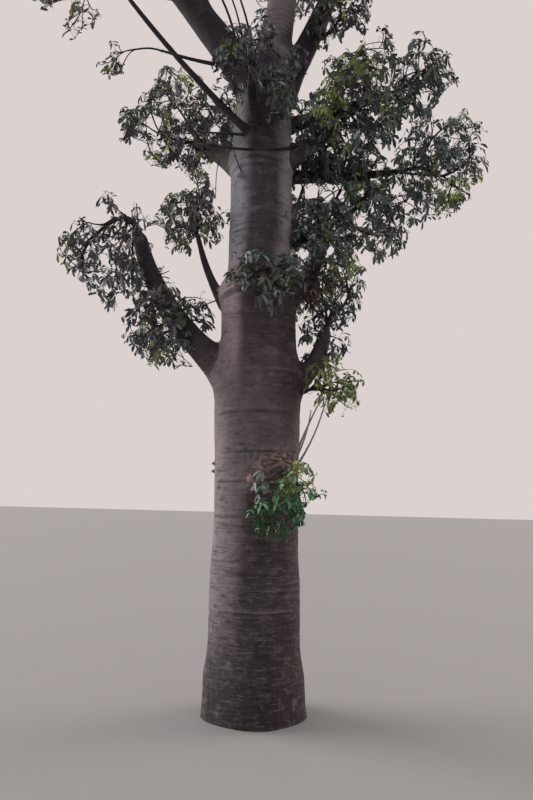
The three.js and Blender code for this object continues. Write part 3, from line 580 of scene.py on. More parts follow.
def spray_fits(mass, index, foot, elbow, hub, draw):
    """Whether enough of the construction's large leaflets find room round a hub."""
    back = unit(elbow - hub)
    lean = np.array([0.0, 0.0, 1.0])
    pole, allowed = (-back, RISING_LEAN) if back[2] < 0 else (back, FALLING_LEAN)
    tilt = math.acos(np.clip(dot(pole, lean), -1, 1))
    if tilt > allowed:
        lean = turned(lean, unit(np.cross(lean, pole)), tilt - allowed)
    east = back - lean * dot(back, lean)
    if np.linalg.norm(east) < 0.01:
        east = np.array([1.0, 0.0, 0.0]) - lean * lean[0]
    east = unit(east)
    north = np.cross(lean, east)
    size = mass.leaf * between(SIZE_RANGE, draw())
    fitting = 0
    for k in range(SPRAY_LEAFLETS):
        angle = 2 * math.pi * (k + 0.5 + JITTER * (draw() - 0.5)) / SPRAY_LEAFLETS
        droop = math.radians(between(DROOP_RANGE, draw()))
        level = size * math.cos(droop)
        tip = (hub + east * level * math.cos(angle) + north * level * math.sin(angle)
               - lean * size * math.sin(droop))
        if place_in(tip[None], index)[0][0] > LEAFLET_REACH:
            continue
        ribs = hub + (tip - hub) * np.array([0.25, 0.5, 0.75, 1])[:, None]
        edge = elbow - foot
        shares = np.clip((ribs - foot) @ edge / dot(edge, edge), 0, 1)
        if (lengths(ribs - foot - shares[:, None] * edge) < TWIG_GAP).any():
            continue
        fitting += run_is_clear(hub, tip, index, None)
    return fitting >= LEAST_LEAFLETS


def reach_spots(spots, index, home, joints, twigs, fits):
    """Reaches each spot from the joint that gives a short, gently turning way."""
    for spot in spots:
        choices = []
        for joint in joints:
            gone = math.dist(spot, joint.at)
            turn = 1 - float(dot(spot - joint.at, joint.way)) / max(gone, 1)
            choices.append((gone * (1 + TURN_COST * turn) + WAY_BACK_COST * joint.path, gone, joint))
        choices.sort(key=lambda choice: choice[0])
        for _, gone, joint in choices[:JOIN_TRIES]:
            elbow = joint.at + (spot - joint.at) * 0.5 + joint.way * ELBOW_SHIFT * gone
            clear = run_is_clear(joint.at, elbow, index, home) and run_is_clear(elbow, spot, index, home)
            if not clear or not fits(joint.at, elbow, spot):
                continue
            way = unit(spot - elbow)
            twig = SimpleNamespace(start=joint.at, elbow=elbow, end=spot, way=joint.way, parent=joint.twig,
                                   high=joint.high, load=1, load_high=1)
            twigs.append(twig)
            joints.append(SimpleNamespace(at=elbow + (joint.at - elbow) * JOIN_BEFORE, way=way,
                                          path=joint.path + 0.5 * gone, twig=twig, high=False))
            break


def suits_fine(spot):
    return bool(in_clump(spot[None])[0]) and gap_room(spot[None])[0] > FINE_ROOM


def grow_mass(mass, index):
    """The twigs of a mass: the construction's own, then finer ones."""
    draw = generator(FIRST_SEED + SEED_STEP * index)
    home = stem_foot(mass)
    first = home.at + home.way * STEM_LENGTH
    stem = SimpleNamespace(start=home.at, end=first, way=home.way, parent=None, load=0)
    joints = [SimpleNamespace(at=first, way=home.way, path=0, twig=stem, high=False)]
    twigs = []
    spots = scatter(mass, index, mass.sprays, mass.leaf, draw, [], lambda spot: True)
    spots.sort(key=lambda s: math.dist(s, first))
    reach_spots(spots, index, home, joints, twigs,
                lambda foot, elbow, hub: spray_fits(mass, index, foot, elbow, hub, draw))
    for twig in list(twigs):
        way = unit(twig.end - twig.elbow)
        gone = math.dist(twig.end, twig.elbow)
        joints.append(SimpleNamespace(at=twig.elbow + (twig.end - twig.elbow) * OUTER_JOIN, way=way,
                                      path=gone, twig=twig, high=True))
    taken = [twig.end for twig in twigs]
    count = round(FINE_TWIGS * mass.sprays)
    finer = scatter(mass, index, count, FINE_LEAF, draw, taken, suits_fine)
    finer.sort(key=lambda s: math.dist(s, first))
    reach_spots(finer, index, home, joints, twigs, lambda foot, elbow, hub: True)
    for twig in reversed(twigs):
        twig.parent.load += twig.load
        if twig.high:
            twig.parent.load_high += twig.load
    return SimpleNamespace(mass=mass, index=index, home=home, stem=stem, twigs=twigs)


GROWN = [grow_mass(mass, index) for index, mass in enumerate(MASSES)]

# How a mass's wood thins: from its foot's radius to a twig's tip, by the twigs it carries
TIP_RADIUS = 3.4
SIDE_STEM_RADIUS = 17
STEM_SUNK = 1.2  # of its radius, how deep a stem starts in its limb
STUB_SHARE = 0.55  # of the radius of a bough that was cut back
TIP_SHARE = 0.86  # of the radius of a bough that runs on
CUT_BOUGHS = {
    "left_mid_bough", "right_mid_bough", "right_low_bough", "right_knob_bough", "left_low_bough",
    "back_low_bough",
}
FUSE_RADIUS = 11.5  # wood thicker than this is one body with the boughs
FUSED_TAPER = 0.72  # the least share of its radius that such wood keeps
LOW_TAPER = 3
HIGH_TAPER = 0.8
HALF_RINGS = 4  # stretches in each half of a twig
TIP_SAG = np.array([0, 0, -0.12])


def foot_radius(grown):
    if grown.mass.leave is not None:
        return SIDE_STEM_RADIUS
    tip = LIMBS[grown.mass.on].radii[-1]
    return tip * (STUB_SHARE if grown.mass.on in CUT_BOUGHS else TIP_SHARE)


def curve(start, way, elbow, end):
    """Points on a smooth curve that leaves start along way and passes through the elbow."""
    low = math.dist(start, elbow)
    high = math.dist(elbow, end)
    middle_way = unit(end - start)
    last_way = unit(unit(end - elbow) + TIP_SAG)
    first, leave, last, arrive = curve_weights((np.arange(HALF_RINGS) / HALF_RINGS)[:, None])
    return np.concatenate([
        first * start + leave * (way * low) + last * elbow + arrive * (middle_way * low),
        first * elbow + leave * (middle_way * high) + last * end + arrive * (last_way * high),
        end[None],
    ])


def mass_wood(grown):
    """A mass's thick runs of wood, then its thin twigs, each as points and radii."""
    foot = foot_radius(grown)
    power = math.log(foot / TIP_RADIUS) / max(math.log(max(1, grown.stem.load)), 1)
    sunk = grown.home.at - grown.home.way * STEM_SUNK * foot
    thick = [(np.array([sunk, grown.stem.end]), np.array([foot, foot]))]
    thin = []
    for twig in grown.twigs:
        low = TIP_RADIUS * twig.load ** power
        high = TIP_RADIUS * twig.load_high ** power
        points = twig.points = curve(twig.start, twig.way, twig.elbow, twig.end)
        if low >= FUSE_RADIUS:
            radii = np.linspace(low, max(high, FUSED_TAPER * low), HALF_RINGS + 1)
            thick.append((points[:HALF_RINGS + 1], radii))
            middle = 0.5 * (twig.elbow + twig.end)
            points = curve(twig.elbow, unit(twig.end - twig.start), middle, twig.end)
            low = min(high, FUSE_RADIUS)
        share = np.linspace(0, 2, 2 * HALF_RINGS + 1)
        radii = (low + (high - low) * np.minimum(share, 1) ** LOW_TAPER
                 + (TIP_RADIUS - high) * np.maximum(share - 1, 0) ** HIGH_TAPER)
        thin.append((points, radii))
    return thick, thin


MASS_WOOD = []
TWIGS = []
for grown in GROWN:
    thick_runs, thin_runs = mass_wood(grown)
    MASS_WOOD += thick_runs
    TWIGS += thin_runs


# Wood as one field

FINE_STEP = 5  # parts of each stretch of a bough's line
CAP_SHARE = 0.55  # how far a cut bough's round end is drawn back, as a share of its radius
MOST_DRAWN_BACK = 0.8  # of the last stretch
FILLET = 0.4  # width of the rounding at a foot, as a share of its radius
MASS_FILLET = (0.5, 4)  # the same for the wood of masses, and how much is added
FIELD_MARGIN = 70


def refined(points, radii, parts):
    """The same line with a smooth curve between its points."""
    keys = np.arange(len(points), dtype=float)
    fine = np.linspace(0, len(points) - 1, parts * (len(points) - 1) + 1)
    table = np.column_stack([keys, points, radii])
    *line, thick = [along(table, column, fine) for column in range(1, 5)]
    return np.column_stack(line), thick


def wood_run(name, points, radii, fillet):
    """A run of round wood: its line, its size, and a frame to measure round it by."""
    axis = unit(points[-1] - points[0])
    side = np.array([1.0, 0, 0]) if abs(axis[2]) > 0.9 else np.array([0, 0, 1.0])
    across = unit(np.cross(side, axis))
    steps = lengths(np.diff(points, axis=0))
    return SimpleNamespace(name=name, points=points, radii=radii, fillet=fillet, across=across,
                           over=np.cross(axis, across), lengths=np.concatenate([[0], np.cumsum(steps)]))


def limb_run(limb):
    points, radii = refined(limb.points, limb.radii, FINE_STEP)
    if limb.name in CUT_BOUGHS:
        way = unit(points[-1] - points[-2])
        most = MOST_DRAWN_BACK * math.dist(points[-1], points[-2])
        points[-1] = points[-1] - way * min(CAP_SHARE * radii[-1], most)
    return wood_run(limb.name, points, radii, FILLET * limb.radii[0])


# Cut stubs on the trunk
STUBS = limb_records([
    ("left_stub", "trunk", 1838, 193, 6, 0, 0, 22, 13, 10),
    ("left_lower_stub", "trunk", 1788, 190, -8, 0, 0, 24, 11, 9),
    ("upper_left_stub", "trunk", 3964, 232, -20, -30, -30, 60, 13, 10),
])
STUB_NAMES = {stub.name for stub in STUBS}
RUNS = [limb_run(limb) for limb in LIMBS.values()]
RUNS += [limb_run(bough_line(stub)) for stub in STUBS]
RUNS += [wood_run("mass_wood", points, radii, MASS_FILLET[0] * radii[0] + MASS_FILLET[1])
         for points, radii in MASS_WOOD]


def trunk_field(points):
    """Distance from the trunk's surface, the way out, and how high and wide it is there."""
    level = np.minimum(points[:, 2], TRUNK_TOP)
    offset = points - trunk_centre(level)
    offset[:, 2] = 0
    reach = lengths(offset)
    radius = trunk_radius(np.maximum(level, 0), np.arctan2(offset[:, 1], offset[:, 0]))
    out = offset / np.maximum(reach, 1)[:, None]
    gap = reach - radius
    above = np.maximum(points[:, 2] - TRUNK_TOP, 0)
    beside = np.maximum(gap, 0)
    distance = np.where(above > 0, np.hypot(beside, above), gap)
    over = unit(out * beside[:, None] + np.array([0, 0, 1.0]) * above[:, None])
    way = np.where((above > 0)[:, None], over, out)
    return distance, way, level, radius


def run_field(run, points):
    """The same for a run of wood, with how far along it each point is."""
    best = np.full(len(points), np.inf)
    way = np.zeros_like(points)
    length = np.zeros(len(points))
    girth = np.zeros(len(points))
    for i in range(len(run.points) - 1):
        edge = run.points[i + 1] - run.points[i]
        share = np.clip((points - run.points[i]) @ edge / max(dot(edge, edge), 1e-6), 0, 1)
        offset = points - run.points[i] - share[:, None] * edge
        reach = lengths(offset)
        radius = run.radii[i] + (run.radii[i + 1] - run.radii[i]) * share
        nearer = reach - radius < best
        best[nearer] = (reach - radius)[nearer]
        way[nearer] = (offset / np.maximum(reach, 1e-6)[:, None])[nearer]
        length[nearer] = (run.lengths[i] + share * (run.lengths[i + 1] - run.lengths[i]))[nearer]
        girth[nearer] = radius[nearer]
    return best, way, length, girth


def near_run(run, points):
    low = run.points.min(axis=0) - run.radii.max() - FIELD_MARGIN
    high = run.points.max(axis=0) + run.radii.max() + FIELD_MARGIN
    return np.flatnonzero(((points > low) & (points < high)).all(axis=1))


def wood_field(points):
    """Distance from all the wood, its bodies smoothly joined, and the way out."""
    distance, way, _, _ = trunk_field(points)
    for run in RUNS:
        near = near_run(run, points)
        if not len(near):
            continue
        other, other_way, _, _ = run_field(run, points[near])
        here = distance[near]
        mix = np.clip(0.5 + 0.5 * (other - here) / run.fillet, 0, 1)
        distance[near] = other + (here - other) * mix - run.fillet * mix * (1 - mix)
        way[near] = other_way + (way[near] - other_way) * mix[:, None]
    return distance, unit(way)


# Bark relief

# Sizes of the cells of each noise in the bark: twice round the limb, and along it
BARK_CELLS = {
    "wave": (190, 190, 260), "rings": (260, 260, 30), "fine": (90, 90, 13), "patch": (230, 230, 150),
    "lumps": (210, 210, 280), "pores": (34, 34, 24), "knots": (62, 62, 44),
}
BARK_SEED = 11
FULL_GIRTH = 150  # the radius from which bark is as rough as on the trunk
WAVE_HEIGHT = 20
CREASE_WIDTH = 0.075


def bark(u, v, t, girth):
    """How far bark stands out at a place round and along a limb, and how dark it is painted in its creases
    and hollows, as painted shade.
    """
    def layer(kind, places):
        return noise(places / BARK_CELLS[kind], BARK_SEED + list(BARK_CELLS).index(kind))

    place = np.column_stack([u, v, t])
    waved = np.column_stack([u, v, t + WAVE_HEIGHT * layer("wave", place)])
    rings = layer("rings", waved)
    fine = layer("fine", waved)
    patch = np.clip(0.75 + 1.1 * layer("patch", place), 0, 1)
    knots = layer("knots", place)
    crease = bell(rings, CREASE_WIDTH) * patch
    out = (1.6 * rings * patch + 0.8 * fine + 4.5 * layer("lumps", place) + layer("pores", place)
           + 1.4 * knots - 1.2 * crease)
    # Painted shade: darker in the creases and the low places of the relief
    dark = 0.45 * crease + 0.3 * np.clip(-fine - 0.25, 0, 1) + 0.35 * np.clip(-knots - 0.3, 0, 1)
    return np.clip(girth / FULL_GIRTH, 0.2, 1) * out, dark


# Marks on the trunk: height, azimuth, half-width. An eye is a dent under a lip, with painted shade in the
# dent.
EYES = [
    (988, 202, 20), (895, 232, 26), (665, 254, 24), (567, 206, 18), (588, 279, 26), (394, 255, 30),
    (449, 259, 22), (178, 212, 20), (294, 269, 24), (2042, 244, 20), (1971, 251, 24), (1865, 196, 22),
    (1658, 212, 34), (1369, 212, 18), (1216, 192, 20), (3396, 272, 26), (3332, 235, 20), (3190, 227, 34),
    (3150, 254, 32), (2901, 245, 20), (3963, 232, 22), (4134, 204, 24), (866, 259, 20), (461, 297, 26),
]
SEEDED_EYES = 46
SEEDED_EYE_RANGES = [(120, 4700), (-60, 190), (13, 27)]
EYE_SHARE = 0.66  # of its half-width, how wide an eye's dent is
# Ridges round part of the trunk: height, azimuth, spread in degrees, out, thickness, rise per degree
RIDGES = [
    (794, 262, 62, 8, 9, 0.06), (764, 250, 44, 4, 8, 0.0), (1152, 225, 30, 4, 9, 0.3),
    (1475, 215, 40, 6, 12, 0.0), (1418, 232, 26, 5, 12, -0.5), (1724, 230, 26, 6, 11, 0.1),
    (1781, 216, 12, -5, 8, 0.0), (3114, 234, 36, 17, 17, 0.9), (3605, 230, 40, 2, 8, 0.0),
    (3560, 235, 36, 2, 8, 0.1), (4040, 250, 50, 2.5, 10, 0.0), (499, 284, 12, -5, 7, 0.0),
]
SEEDED_RIDGES = 34
SEEDED_RIDGE_RANGES = [(250, 4600), (-180, 180), (14, 60), (1.5, 4.5), (7, 12), (-0.3, 0.3)]
RIDGE_REACH = 100
# Lumpy places: height, azimuth, reach, how rough and how rosy
LUMPY = [
    (1800, 303, 190, 20, 1.0), (1720, 268, 80, 10, 0.4), (4300, 258, 110, 12, 0.0),
    (3110, 326, 120, 20, 0.5), (2470, 0, 90, 12, 0.3),
]
MARK_SEED = 71
FOLD_SEED = 31
FOLD_CELL = (52, 52, 40)
FOLD_WIDTH = 0.16
KNOB_SEED = 32
KNOB_SIZE = 26


def trunk_marks(points, level, radius):
    """The eyes, ridges and lumps of the trunk: how far out, how dark (painted shade in dents, under ridges
    and in folds), how pale and how rosy.
    """
    rng = np.random.default_rng(MARK_SEED)
    centre = trunk_centre(level)
    angle = np.degrees(np.arctan2(points[:, 1] - centre[:, 1], points[:, 0] - centre[:, 0]))
    out, dark, pale, rose = np.zeros((4, len(points)))

    def seeded(count, ranges):
        return list(zip(*[rng.uniform(low, high, count) for low, high in ranges]))

    def turn_from(azimuth, near):
        return (angle[near] - azimuth + 180) % 360 - 180

    for height, azimuth, size in EYES + seeded(SEEDED_EYES, SEEDED_EYE_RANGES):
        wide = EYE_SHARE * size
        near = np.flatnonzero(np.abs(level - height) < 4 * wide)
        across = np.radians(turn_from(azimuth, near)) * radius[near]
        rise = level[near] - height
        dent = bell(across, wide) * bell(rise, 0.5 * wide)
        lip = bell(across, 1.2 * wide) * bell(rise - 0.85 * wide, 0.34 * wide)
        sill = bell(across, 1.1 * wide) * bell(rise + 0.9 * wide, 0.4 * wide)
        out[near] += wide * (-0.3 * dent + 0.16 * lip + 0.06 * sill)
        # Painted shade in the eye's dent
        dark[near] += 1.5 * dent
        pale[near] += 0.5 * lip + 0.12 * sill
    for height, azimuth, spread, high, thick, slant in RIDGES + seeded(SEEDED_RIDGES, SEEDED_RIDGE_RANGES):
        near = np.flatnonzero(np.abs(level - height) < RIDGE_REACH)
        turn = turn_from(azimuth, near)
        rise = level[near] - height - slant * turn
        window = np.exp(-(turn / spread) ** 4)
        ridge = bell(rise, thick)
        below = rise + 1.9 * thick
        out[near] += high * window * (ridge - 0.4 * bell(below, thick))
        # Painted shade under a raised ridge and in a sunken one
        dark[near] += window * (0.6 * bell(below, 0.8 * thick) if high > 0 else ridge)
        pale[near] += window * ridge * min(max(high, 0) / 10, 1)
    for height, azimuth, wide, rough, rosy in LUMPY:
        across = np.radians(turn_from(azimuth, slice(None))) * radius
        window = np.minimum(1, 1.5 * bell(across, 0.8 * wide) * bell(level - height, 0.62 * wide))
        near = np.flatnonzero(window > 0.02)
        folds = noise(points[near] / FOLD_CELL, FOLD_SEED)
        knobs = noise(points[near] / KNOB_SIZE, KNOB_SEED)
        out[near] += window[near] * rough * (0.9 - 2.2 * bell(folds, FOLD_WIDTH) + 0.5 * knobs)
        # Painted shade in the folds
        dark[near] += 0.6 * window[near] * bell(folds, 0.11)
        rose[near] += window[near] * rosy
    return out, dark, pale, rose


# Marks at places on limbs: place, reach, how far out, how dark and how pale. Dark dents are painted shade,
# and the last two are a painted shadow below the front shoot's collar.
SPOTS = [
    ((100, -120, 5025), 52, -4, 0.7, 0.0), ((150, -80, 5080), 40, -3, 0.5, 0.0),
    ((60, -150, 4935), 44, 9, 0.0, 1.0), ((110, -130, 4960), 34, 7, 0.0, 0.8),
    ((20, -150, 4965), 30, 6, 0.0, 0.7),
    ((48, -158, 4925), 15, -12, 1.0, 0.0), ((60, -130, 5110), 24, 3, 0.0, 0.5),
    ((-115, -222, 4225), 92, 0, 0.85, 0.0), ((-80, -228, 4150), 60, 0, 0.55, 0.0),
]
# Rings round the foot of the leader: height, thickness and how dark
LEADER_RINGS = [
    (5075, 7, 0.5), (5105, 6, 0.6), (5140, 7, 0.5), (5178, 6, 0.6), (5215, 8, 0.4), (5262, 7, 0.5),
]
RING_REACH = 210
RING_DEPTH = 2.2
RING_WAVE = 9
RING_WAVE_SIZE = 90
RING_SEED = 47


def limb_marks(points):
    """The spots and rings of limbs: how far out, how dark and how pale."""
    out, dark, pale = np.zeros((3, len(points)))
    for place, reach, high, darkness, paleness in SPOTS:
        near = bell(lengths(points - np.array(place)), reach)
        out += high * near
        dark += darkness * near
        pale += paleness * near
    waved = points[:, 2] + RING_WAVE * noise(points / RING_WAVE_SIZE, RING_SEED)
    near = np.hypot(points[:, 0], points[:, 1]) < RING_REACH
    for height, thick, darkness in LEADER_RINGS:
        ring = near * bell(waved - height, thick)
        out -= RING_DEPTH * ring
        dark += darkness * ring
    return out, dark, pale


JOIN_REACH = 34
# How pale the bark of each limb is, or below 0 how dark: a dark tone is painted shade on a limb that
# stands in shade
LIMB_TONES = {
    "left_mid_bough": 0.8, "right_mid_bough": 0.3, "leader": 1.0, "upper_left_limb": -1.0,
    "upper_right_limb": -0.8, "front_left_shoot": -0.9, "front_shoot": -0.6, "right_high_bough": -0.5,
    "right_long_bough": -0.5, "left_low_bough": -0.4, "left_upright_bough": -0.5,
    "right_low_bough": -0.5, "right_short_bough": -0.4, "upper_left_thin_bough": -0.6,
    "upper_left_side_bough": -0.6, "mass_wood": -0.4,
}
OTHER_TONE = 0.1
STRIPE_SEED = 17
STRIPE_CELL = (26, 26, 330)
STRIPE_HEIGHT = 1.3
STRIPE_FADE = 1100
BARK_SHIFT = 977  # how far apart along the bark's noises the runs are


def relief(points):
    """How far the bark stands out at each point of the wood, how dark (painted shade in hollows and on
    shaded limbs, and dark marks), pale and rosy it is, and whose.
    """
    distance, _, level, radius = trunk_field(points)
    x, y = (points - trunk_centre(level)).T[:2]
    out, dark = bark(x, y, level, radius)
    stripes = noise(np.column_stack([points[:, :2], level]) / STRIPE_CELL, STRIPE_SEED)
    out += STRIPE_HEIGHT * stripes * np.exp(-level / STRIPE_FADE)
    marks, mark_dark, pale, rose = trunk_marks(points, level, radius)
    weight = np.exp(-np.maximum(distance, 0) / JOIN_REACH)
    out = (out + marks) * weight
    dark = (dark + mark_dark) * weight
    pale *= weight
    rose *= weight
    nearest = distance.copy()
    owner = np.zeros(len(points))
    for number, run in enumerate(RUNS, start=1):
        near = near_run(run, points)
        if not len(near):
            continue
        gap, way, length, girth = run_field(run, points[near])
        offset = way * (girth + gap)[:, None]
        along_bark = length + BARK_SHIFT * number
        run_out, run_dark = bark(offset @ run.across, offset @ run.over, along_bark, girth)
        share = np.exp(-np.maximum(gap, 0) / JOIN_REACH)
        tone = LIMB_TONES.get(run.name, OTHER_TONE)
        out[near] += run_out * share
        # A limb's dark tone is painted shade
        dark[near] += (run_dark + max(-tone, 0)) * share
        pale[near] += max(tone, 0) * share
        weight[near] += share
        closer = gap < nearest[near]
        nearest[near[closer]] = gap[closer]
        owner[near[closer]] = 0 if run.name in STUB_NAMES else number
    spot_out, spot_dark, spot_pale = limb_marks(points)
    dark, pale, rose = [np.clip(values, 0, 1) for values in
                        (dark / weight + spot_dark, pale / weight + spot_pale, rose / weight)]
    return out / weight + spot_out, dark, pale, rose, owner


# Meshes

def shell_faces(rings, sides):
    """The walls and the two ends of a closed tube."""
    k = np.arange(sides)
    after = (k + 1) % sides
    wall = np.column_stack([k, after, sides + after, sides + k])
    walls = np.concatenate([r * sides + wall for r in range(rings - 1)])
    return walls, [k[::-1], (rings - 1) * sides + k]


def tubes(paths, radii, sides):
    """Closed tubes, all with as many rings: their corners and their faces."""
    paths = np.asarray(paths, dtype=float)
    radii = np.asarray(radii, dtype=float)
    count, rings = radii.shape
    ways = unit(np.gradient(paths, axis=1))
    steep = np.abs(ways[:, 0, 2]) > 0.9
    side = np.where(steep[:, None], (1.0, 0, 0), (0, 0, 1.0))
    across = unit(np.cross(side, ways[:, 0]))
    angles = 2 * np.pi * np.arange(sides) / sides
    corners = np.empty((count, rings, sides, 3))
    for r in range(rings):
        across = unit(across - ways[:, r] * dot(across, ways[:, r])[:, None])
        over = np.cross(ways[:, r], across)
        circle = across[:, None] * np.cos(angles)[:, None] + over[:, None] * np.sin(angles)[:, None]
        corners[:, r] = paths[:, r, None] + circle * radii[:, r, None, None]
    walls, ends = shell_faces(rings, sides)
    start = np.arange(count)[:, None, None] * rings * sides
    caps = [(index + end).tolist() for index in start[:, 0, 0] for end in ends]
    return corners.reshape(-1, 3), (start + walls).reshape(-1, 4).tolist() + caps


def add_object(name, data):
    thing = bpy.data.objects.new(name, data)
    bpy.context.collection.objects.link(thing)
    return thing


def mesh_object(name, corners, faces):
    """A mesh object from corners in millimetres."""
    mesh = bpy.data.meshes.new(name)
    mesh.from_pydata((np.asarray(corners) * MM).tolist(), [], faces)
    mesh.shade_smooth()
    return add_object(name, mesh)


def read_values(source, key, count):
    values = np.empty(count, dtype=np.float32)
    source.foreach_get(key, values)
    return values


VOXEL = 0.0125
CORE_SIDES = 20
TRUNK_CORE_SIDES = 40
BELOW_GROUND = 60
TRUNK_CORE_STEP = 60
CORE_TIP = (0.75, 0.6)  # of its radius, how far a run's core goes on, and how wide its end is
SETTLE_TIMES = 4
SETTLE_STEP = 25


def wood_core():
    """One body round trunk, boughs and the thick wood of the masses."""
    angles = 2 * np.pi * np.arange(TRUNK_CORE_SIDES) / TRUNK_CORE_SIDES
    circle = np.column_stack([np.cos(angles), np.sin(angles), np.zeros_like(angles)])
    heights = [-BELOW_GROUND, *np.linspace(0, TRUNK_TOP, TRUNK_TOP // TRUNK_CORE_STEP)]
    rings = [circle * trunk_radius(max(height, 0), angles)[:, None] + trunk_centre(height)
             for height in heights]
    walls, ends = shell_faces(len(rings), TRUNK_CORE_SIDES)
    corners = [np.concatenate(rings)]
    faces = walls.tolist() + [end.tolist() for end in ends]
    total = len(corners[0])
    for run in RUNS:
        way = unit(run.points[-1] - run.points[-2])
        path = np.concatenate([run.points, [run.points[-1] + way * CORE_TIP[0] * run.radii[-1]]])
        thick = np.concatenate([run.radii, [CORE_TIP[1] * run.radii[-1]]])
        points, walls = tubes(path[None], thick[None], CORE_SIDES)
        corners.append(points)
        faces += [[total + i for i in face] for face in walls]
        total += len(points)
    core = mesh_object("wood_core", np.concatenate(corners), faces)
    remesh = core.modifiers.new("fuse", "REMESH")
    remesh.mode = "VOXEL"
    remesh.voxel_size = VOXEL
    fused = bpy.data.meshes.new_from_object(core.evaluated_get(bpy.context.evaluated_depsgraph_get()))
    bpy.data.objects.remove(core)
    return fused


def wood_pieces():
    """The trunk's bark and the boughs' bark, cut from one body so that they meet without a seam."""
    fused = wood_core()
    flat = read_values(fused.vertices, "co", 3 * len(fused.vertices))
    points = flat.reshape(-1, 3).astype(float) / MM
    for _ in range(SETTLE_TIMES):
        distance, way = wood_field(points)
        points -= way * np.clip(distance, -SETTLE_STEP, SETTLE_STEP)[:, None]
    _, way = wood_field(points)
    out, dark, pale, rose, owner = relief(points)
    points += way * out[:, None]
    fused.vertices.foreach_set("co", (points * MM).ravel())
    # The first attribute carries painted shade in hollows, dents and on shaded limbs, and dark marks
    for name, values in (("dark_marks_and_shade", dark), ("pale", pale), ("burr", rose), ("owner", owner)):
        layer = fused.attributes.new(name, "FLOAT", "POINT")
        layer.data.foreach_set("value", np.asarray(values, dtype=np.float32))
    body = bmesh.new()
    body.from_mesh(fused)
    cut = bmesh.ops.bisect_plane(body, geom=body.verts[:] + body.edges[:] + body.faces[:],
                                 plane_co=(0, 0, 0), plane_no=(0, 0, -1), clear_outer=True)
    rim = [e for e in cut["geom_cut"] if isinstance(e, bmesh.types.BMEdge)]
    body.normal_update()
    outward = body.verts.layers.float_vector.new("outward")
    for vertex in body.verts:
        vertex[outward] = vertex.normal
    bmesh.ops.contextual_create(body, geom=rim)
    for edge in rim:
        for vertex in edge.verts:
            vertex.co.z = 0
    body.to_mesh(fused)
    body.free()
    owners = read_values(fused.attributes["owner"].data, "value", len(fused.vertices))
    fused.attributes.remove(fused.attributes["owner"])
    return wood_part(fused, owners, "trunk_bark", True), wood_part(fused, owners, "bough_bark", False)


def wood_part(fused, owners, name, of_trunk):
    """The faces of the wood that belong to the trunk, or those that don't, as a piece."""
    mesh = fused.copy()
    mesh.name = name
    body = bmesh.new()
    body.from_mesh(mesh)
    stray = [f for f in body.faces
             if (sum(owners[v.index] < 0.5 for v in f.verts) * 2 >= len(f.verts)) != of_trunk]
    bmesh.ops.delete(body, geom=stray, context="FACES")
    body.to_mesh(mesh)
    body.free()
    normals = read_values(mesh.attributes["outward"].data, "vector", 3 * len(mesh.vertices))
    mesh.attributes.remove(mesh.attributes["outward"])
    mesh.shade_smooth()
    mesh.normals_split_custom_set_from_vertices(normals.reshape(-1, 3).tolist())
    return add_object(name, mesh)


# Twigs that carry no mass: where each leaves its limb, its line and its size
BARE_TWIGS = limb_records([
    ("crossing_twig", "right_mid_bough", 0.62, 212, -28, 40, -36, 880, 12, 8),
    ("left_tip_twig", "left_low_bough", 0.97, 185, 80, 4, 0, 290, 7, 4),
    ("second_left_tip_twig", "left_low_bough", 0.99, 190, 66, 10, 0, 200, 6, 3),
    ("left_upright_twig", "left_upright_bough", 0.9, 150, 60, 26, 60, 480, 6, 2.5),
    ("hanging_twig", "left_mid_bough", 0.6, 250, -50, -40, 30, 430, 4, 2.5),
    ("fork_twig", "upper_left_limb", 0.1, 180, 84, -22, 0, 640, 12, 8),
    ("second_fork_twig", "upper_left_limb", 0.06, 180, 88, -22, 0, 720, 9, 6),
    ("third_fork_twig", "upper_left_limb", 0.0, 150, 88, -20, 0, 800, 11, 8),
    ("burr_shoot", "trunk", 1850, 338, 70, -6, 20, 520, 11, 5, 1, 318),
    ("second_burr_shoot", "trunk", 1820, 350, 58, 18, -10, 540, 9, 4, 1, 330),
    ("third_burr_shoot", "trunk", 1880, 10, 64, 20, -30, 380, 8, 4, 1, 332),
    ("slanting_twig", "trunk", 3964, 186, 62, 16, -10, 230, 5, 3, 1, 232),
    ("front_crossing_twig", "trunk", 4215, 186, -1, 4, -10, 370, 9, 6, 1, 245),
    ("low_left_twig", "left_upright_bough", 0.1, 200, -30, 30, -40, 420, 5, 2.5),
])
# Limbs that carry leafy spurs: from and to a share of the way along, how many, and their headings
ALL_ROUND = (0, 360)
IN_FRONT = (200, 340)
SPURRED_LIMBS = [
    ("right_long_bough", 0.08, 0.95, 42, ALL_ROUND), ("left_low_bough", 0.15, 0.9, 20, ALL_ROUND),
    ("right_mid_bough", 0.3, 1.0, 16, ALL_ROUND), ("right_high_bough", 0.15, 0.9, 22, ALL_ROUND),
    ("right_low_bough", 0.55, 1.0, 9, ALL_ROUND), ("right_short_bough", 0.15, 1.0, 9, ALL_ROUND),
    ("back_low_bough", 0.5, 1.0, 6, ALL_ROUND), ("back_mid_bough", 0.4, 1.0, 8, ALL_ROUND),
    ("back_high_bough", 0.4, 1.0, 8, ALL_ROUND), ("right_long_bough", 0.06, 0.8, 44, IN_FRONT),
    ("right_short_bough", 0.1, 0.9, 14, IN_FRONT), ("upper_right_limb", 0.02, 0.16, 12, IN_FRONT),
]
# Ranges of a spur's rise, bend, sway and length, and its radii
SPUR_RANGES = [(-35, 35), (-60, 10), (-40, 40), (90, 210)]
SPUR_RADII = (6, 3)
SPUR_SEED = 23
